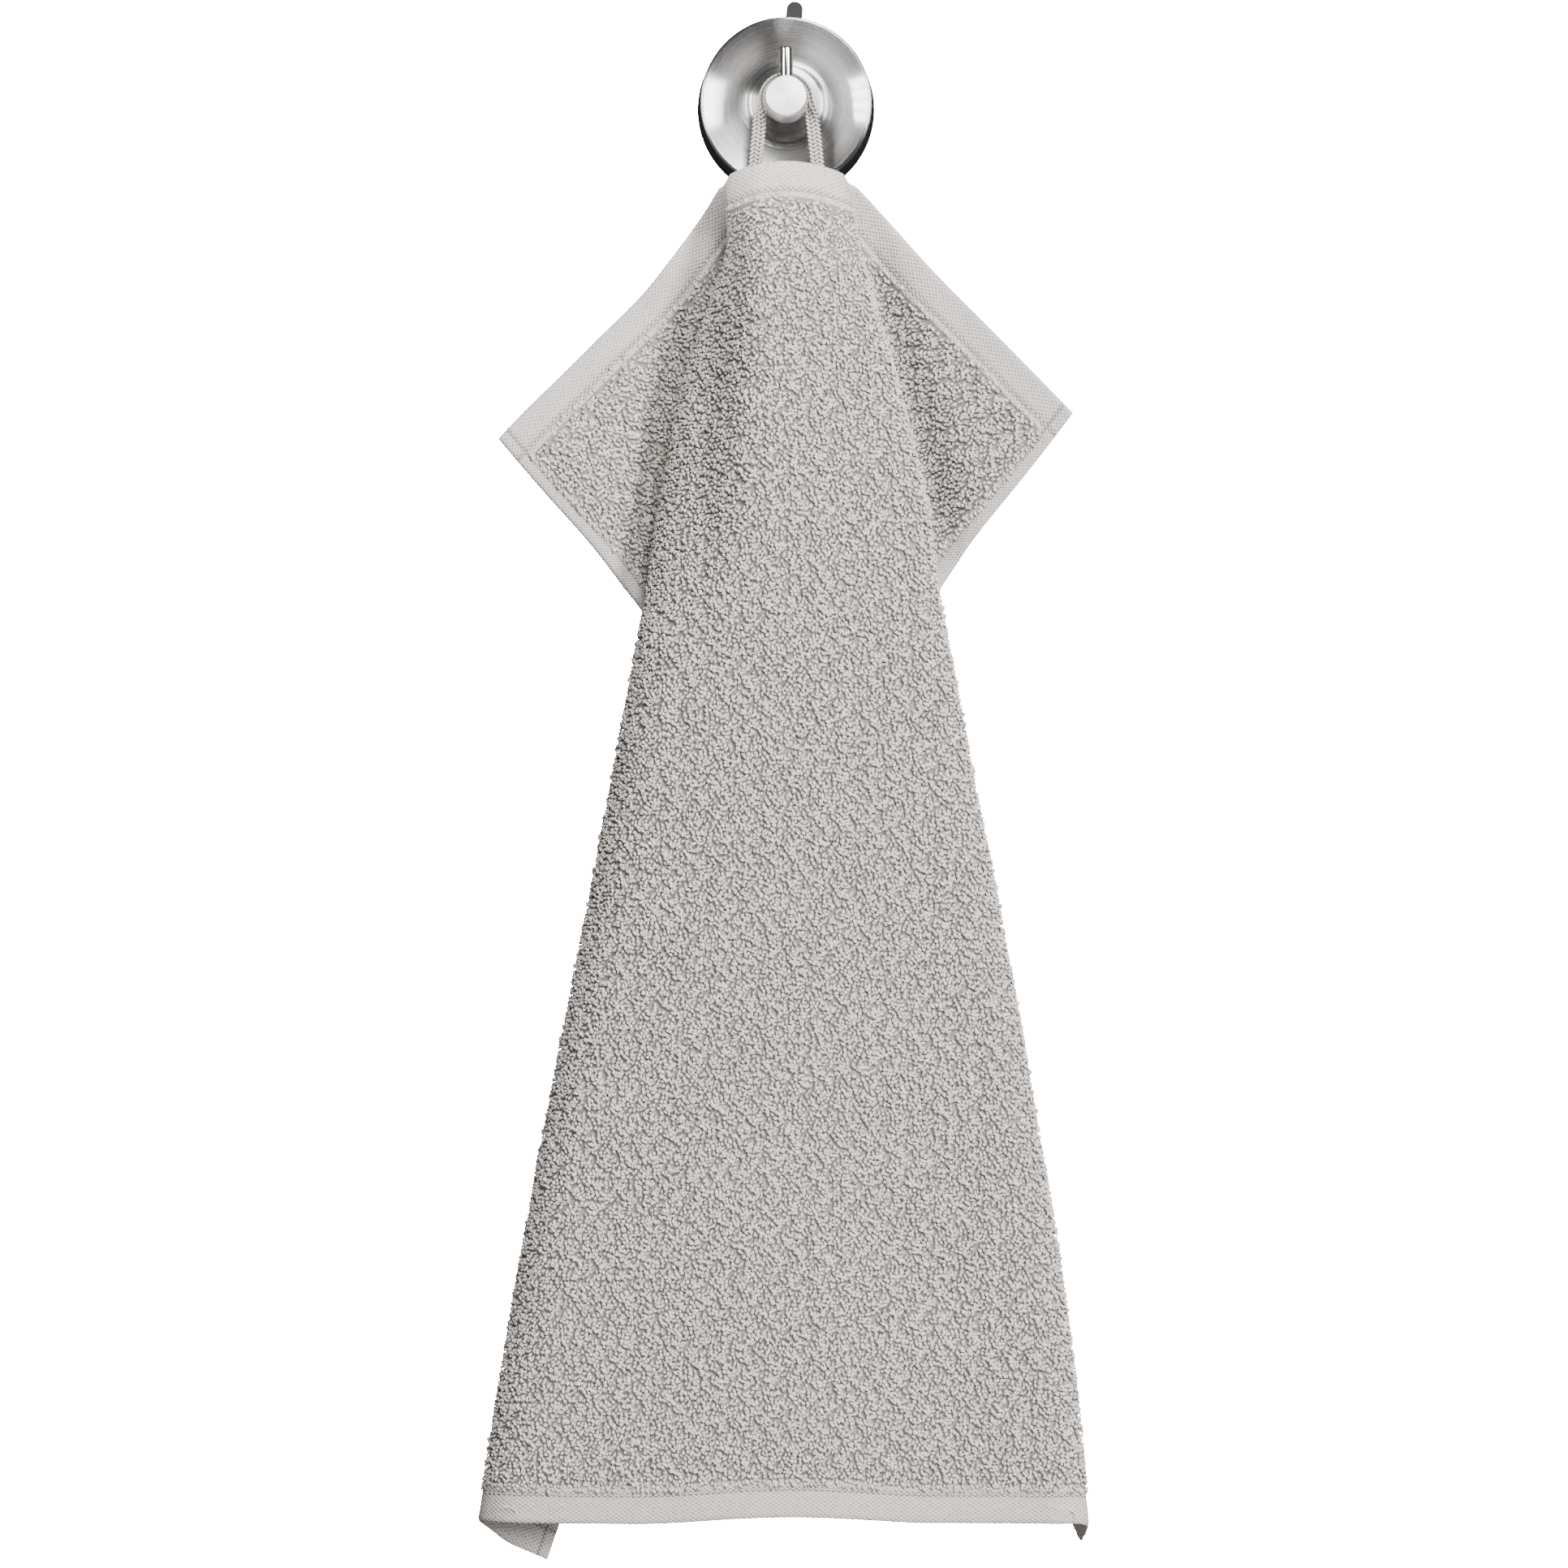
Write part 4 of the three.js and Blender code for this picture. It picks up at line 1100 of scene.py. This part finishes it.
def make_pin():
    """The upright pin near the knob's end that keeps the loop on it"""
    bm = bmesh.new()
    profile = rounded(PIN_PROFILE, 0.2)
    verts = [bm.verts.new((radius * MM, -PIN_FRONT * MM, up * MM)) for radius, up in profile]
    edges = [bm.edges.new(pair) for pair in zip(verts, verts[1:])]
    bmesh.ops.spin(
        bm,
        geom=verts + edges,
        cent=(0, -PIN_FRONT * MM, 0),
        axis=(0, 0, 1),
        angle=2 * math.pi,
        steps=64,
        use_merge=True,
    )
    bmesh.ops.remove_doubles(bm, verts=bm.verts, dist=1e-7)
    made = bmesh_object("pin", bm, PIN_STEEL)
    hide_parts("retaining_pin")


make_pin()

# Floor, backdrop and light

FLOOR_Z = -0.72
FLOOR_RADIUS = 1.1


def make_stage():
    """A plain pale floor below the hanging cloth"""
    bm = bmesh.new()
    bmesh.ops.create_circle(bm, cap_ends=True, segments=96, radius=FLOOR_RADIUS)
    bmesh.ops.translate(bm, verts=bm.verts, vec=(0, 0, FLOOR_Z))
    mesh = bpy.data.meshes.new("pale_floor")
    bm.to_mesh(mesh)
    bm.free()
    glow = {"Emission_Color": (1, 1, 1, 1), "Emission_Strength": 0.5}
    mesh.materials.append(new_material("pale_floor", grey(0.9), 0.9, **glow))
    floor = bpy.data.objects.new("pale_floor", mesh)
    bpy.context.scene.collection.objects.link(floor)
    floor.visible_glossy = False
    floor.visible_diffuse = False


def place_light(data, place, target):
    lamp = bpy.data.objects.new(data.name, data)
    lamp.location = place
    way = Vector(target) - Vector(place)
    lamp.rotation_euler = way.to_track_quat("-Z", "Y").to_euler()
    bpy.context.scene.collection.objects.link(lamp)


def area_light(name, place, target, size, power):
    data = bpy.data.lights.new(name, "AREA")
    data.shape = "RECTANGLE"
    data.size, data.size_y = size
    data.energy = power
    place_light(data, place, target)


def narrow_light(name, place, target, power):
    """A small spot that lights little more than the hook"""
    data = bpy.data.lights.new(name, "SPOT")
    data.energy = power
    data.spot_size = math.radians(6)
    data.spot_blend = 0.6
    data.shadow_soft_size = 0.045
    place_light(data, place, target)


def make_light():
    middle = (0, 0, -0.25)
    area_light("key_light", (0.3, -1.5, 1.0), middle, (0.5, 1.5), 64)
    area_light("right_light", (1.4, -1.7, 0.27), middle, (0.4, 0.9), 80)
    area_light("foot_light", (0, -0.5, -0.7), (0, 0, -0.4), (0.8, 0.3), 1.5)
    area_light("back_light", (0.3, 2.1, 0.6), middle, (1.2, 1.0), 85)
    for i, height in enumerate((-0.06, 0.06, 0.18, 0.3)):
        narrow_light("left_glint_%d" % (i + 1), (-0.77, -0.93, height), (0, -0.02, 0.01), 24)
    make_surroundings(0.11, 60)


def make_surroundings(fill, backdrop):
    """A dim even fill, and a white backdrop where the camera sees past the floor"""
    world = bpy.data.worlds.new("studio")
    bpy.context.scene.world = world
    world.use_nodes = True
    fill_light = world.node_tree.nodes["Background"]
    fill_light.inputs["Color"].default_value = (1, 1, 1, 1)
    fill_light.inputs["Strength"].default_value = fill
    white = add_node(world, "ShaderNodeBackground", {"Color": (1, 1, 1, 1), "Strength": backdrop})
    seen = add_node(world, "ShaderNodeLightPath").outputs["Is Camera Ray"]
    both = {0: seen, 1: fill_light.outputs[0], 2: white.outputs[0]}
    mix = add_node(world, "ShaderNodeMixShader", both)
    output = world.node_tree.nodes["World Output"].inputs["Surface"]
    world.node_tree.links.new(mix.outputs[0], output)


make_stage()
make_light()
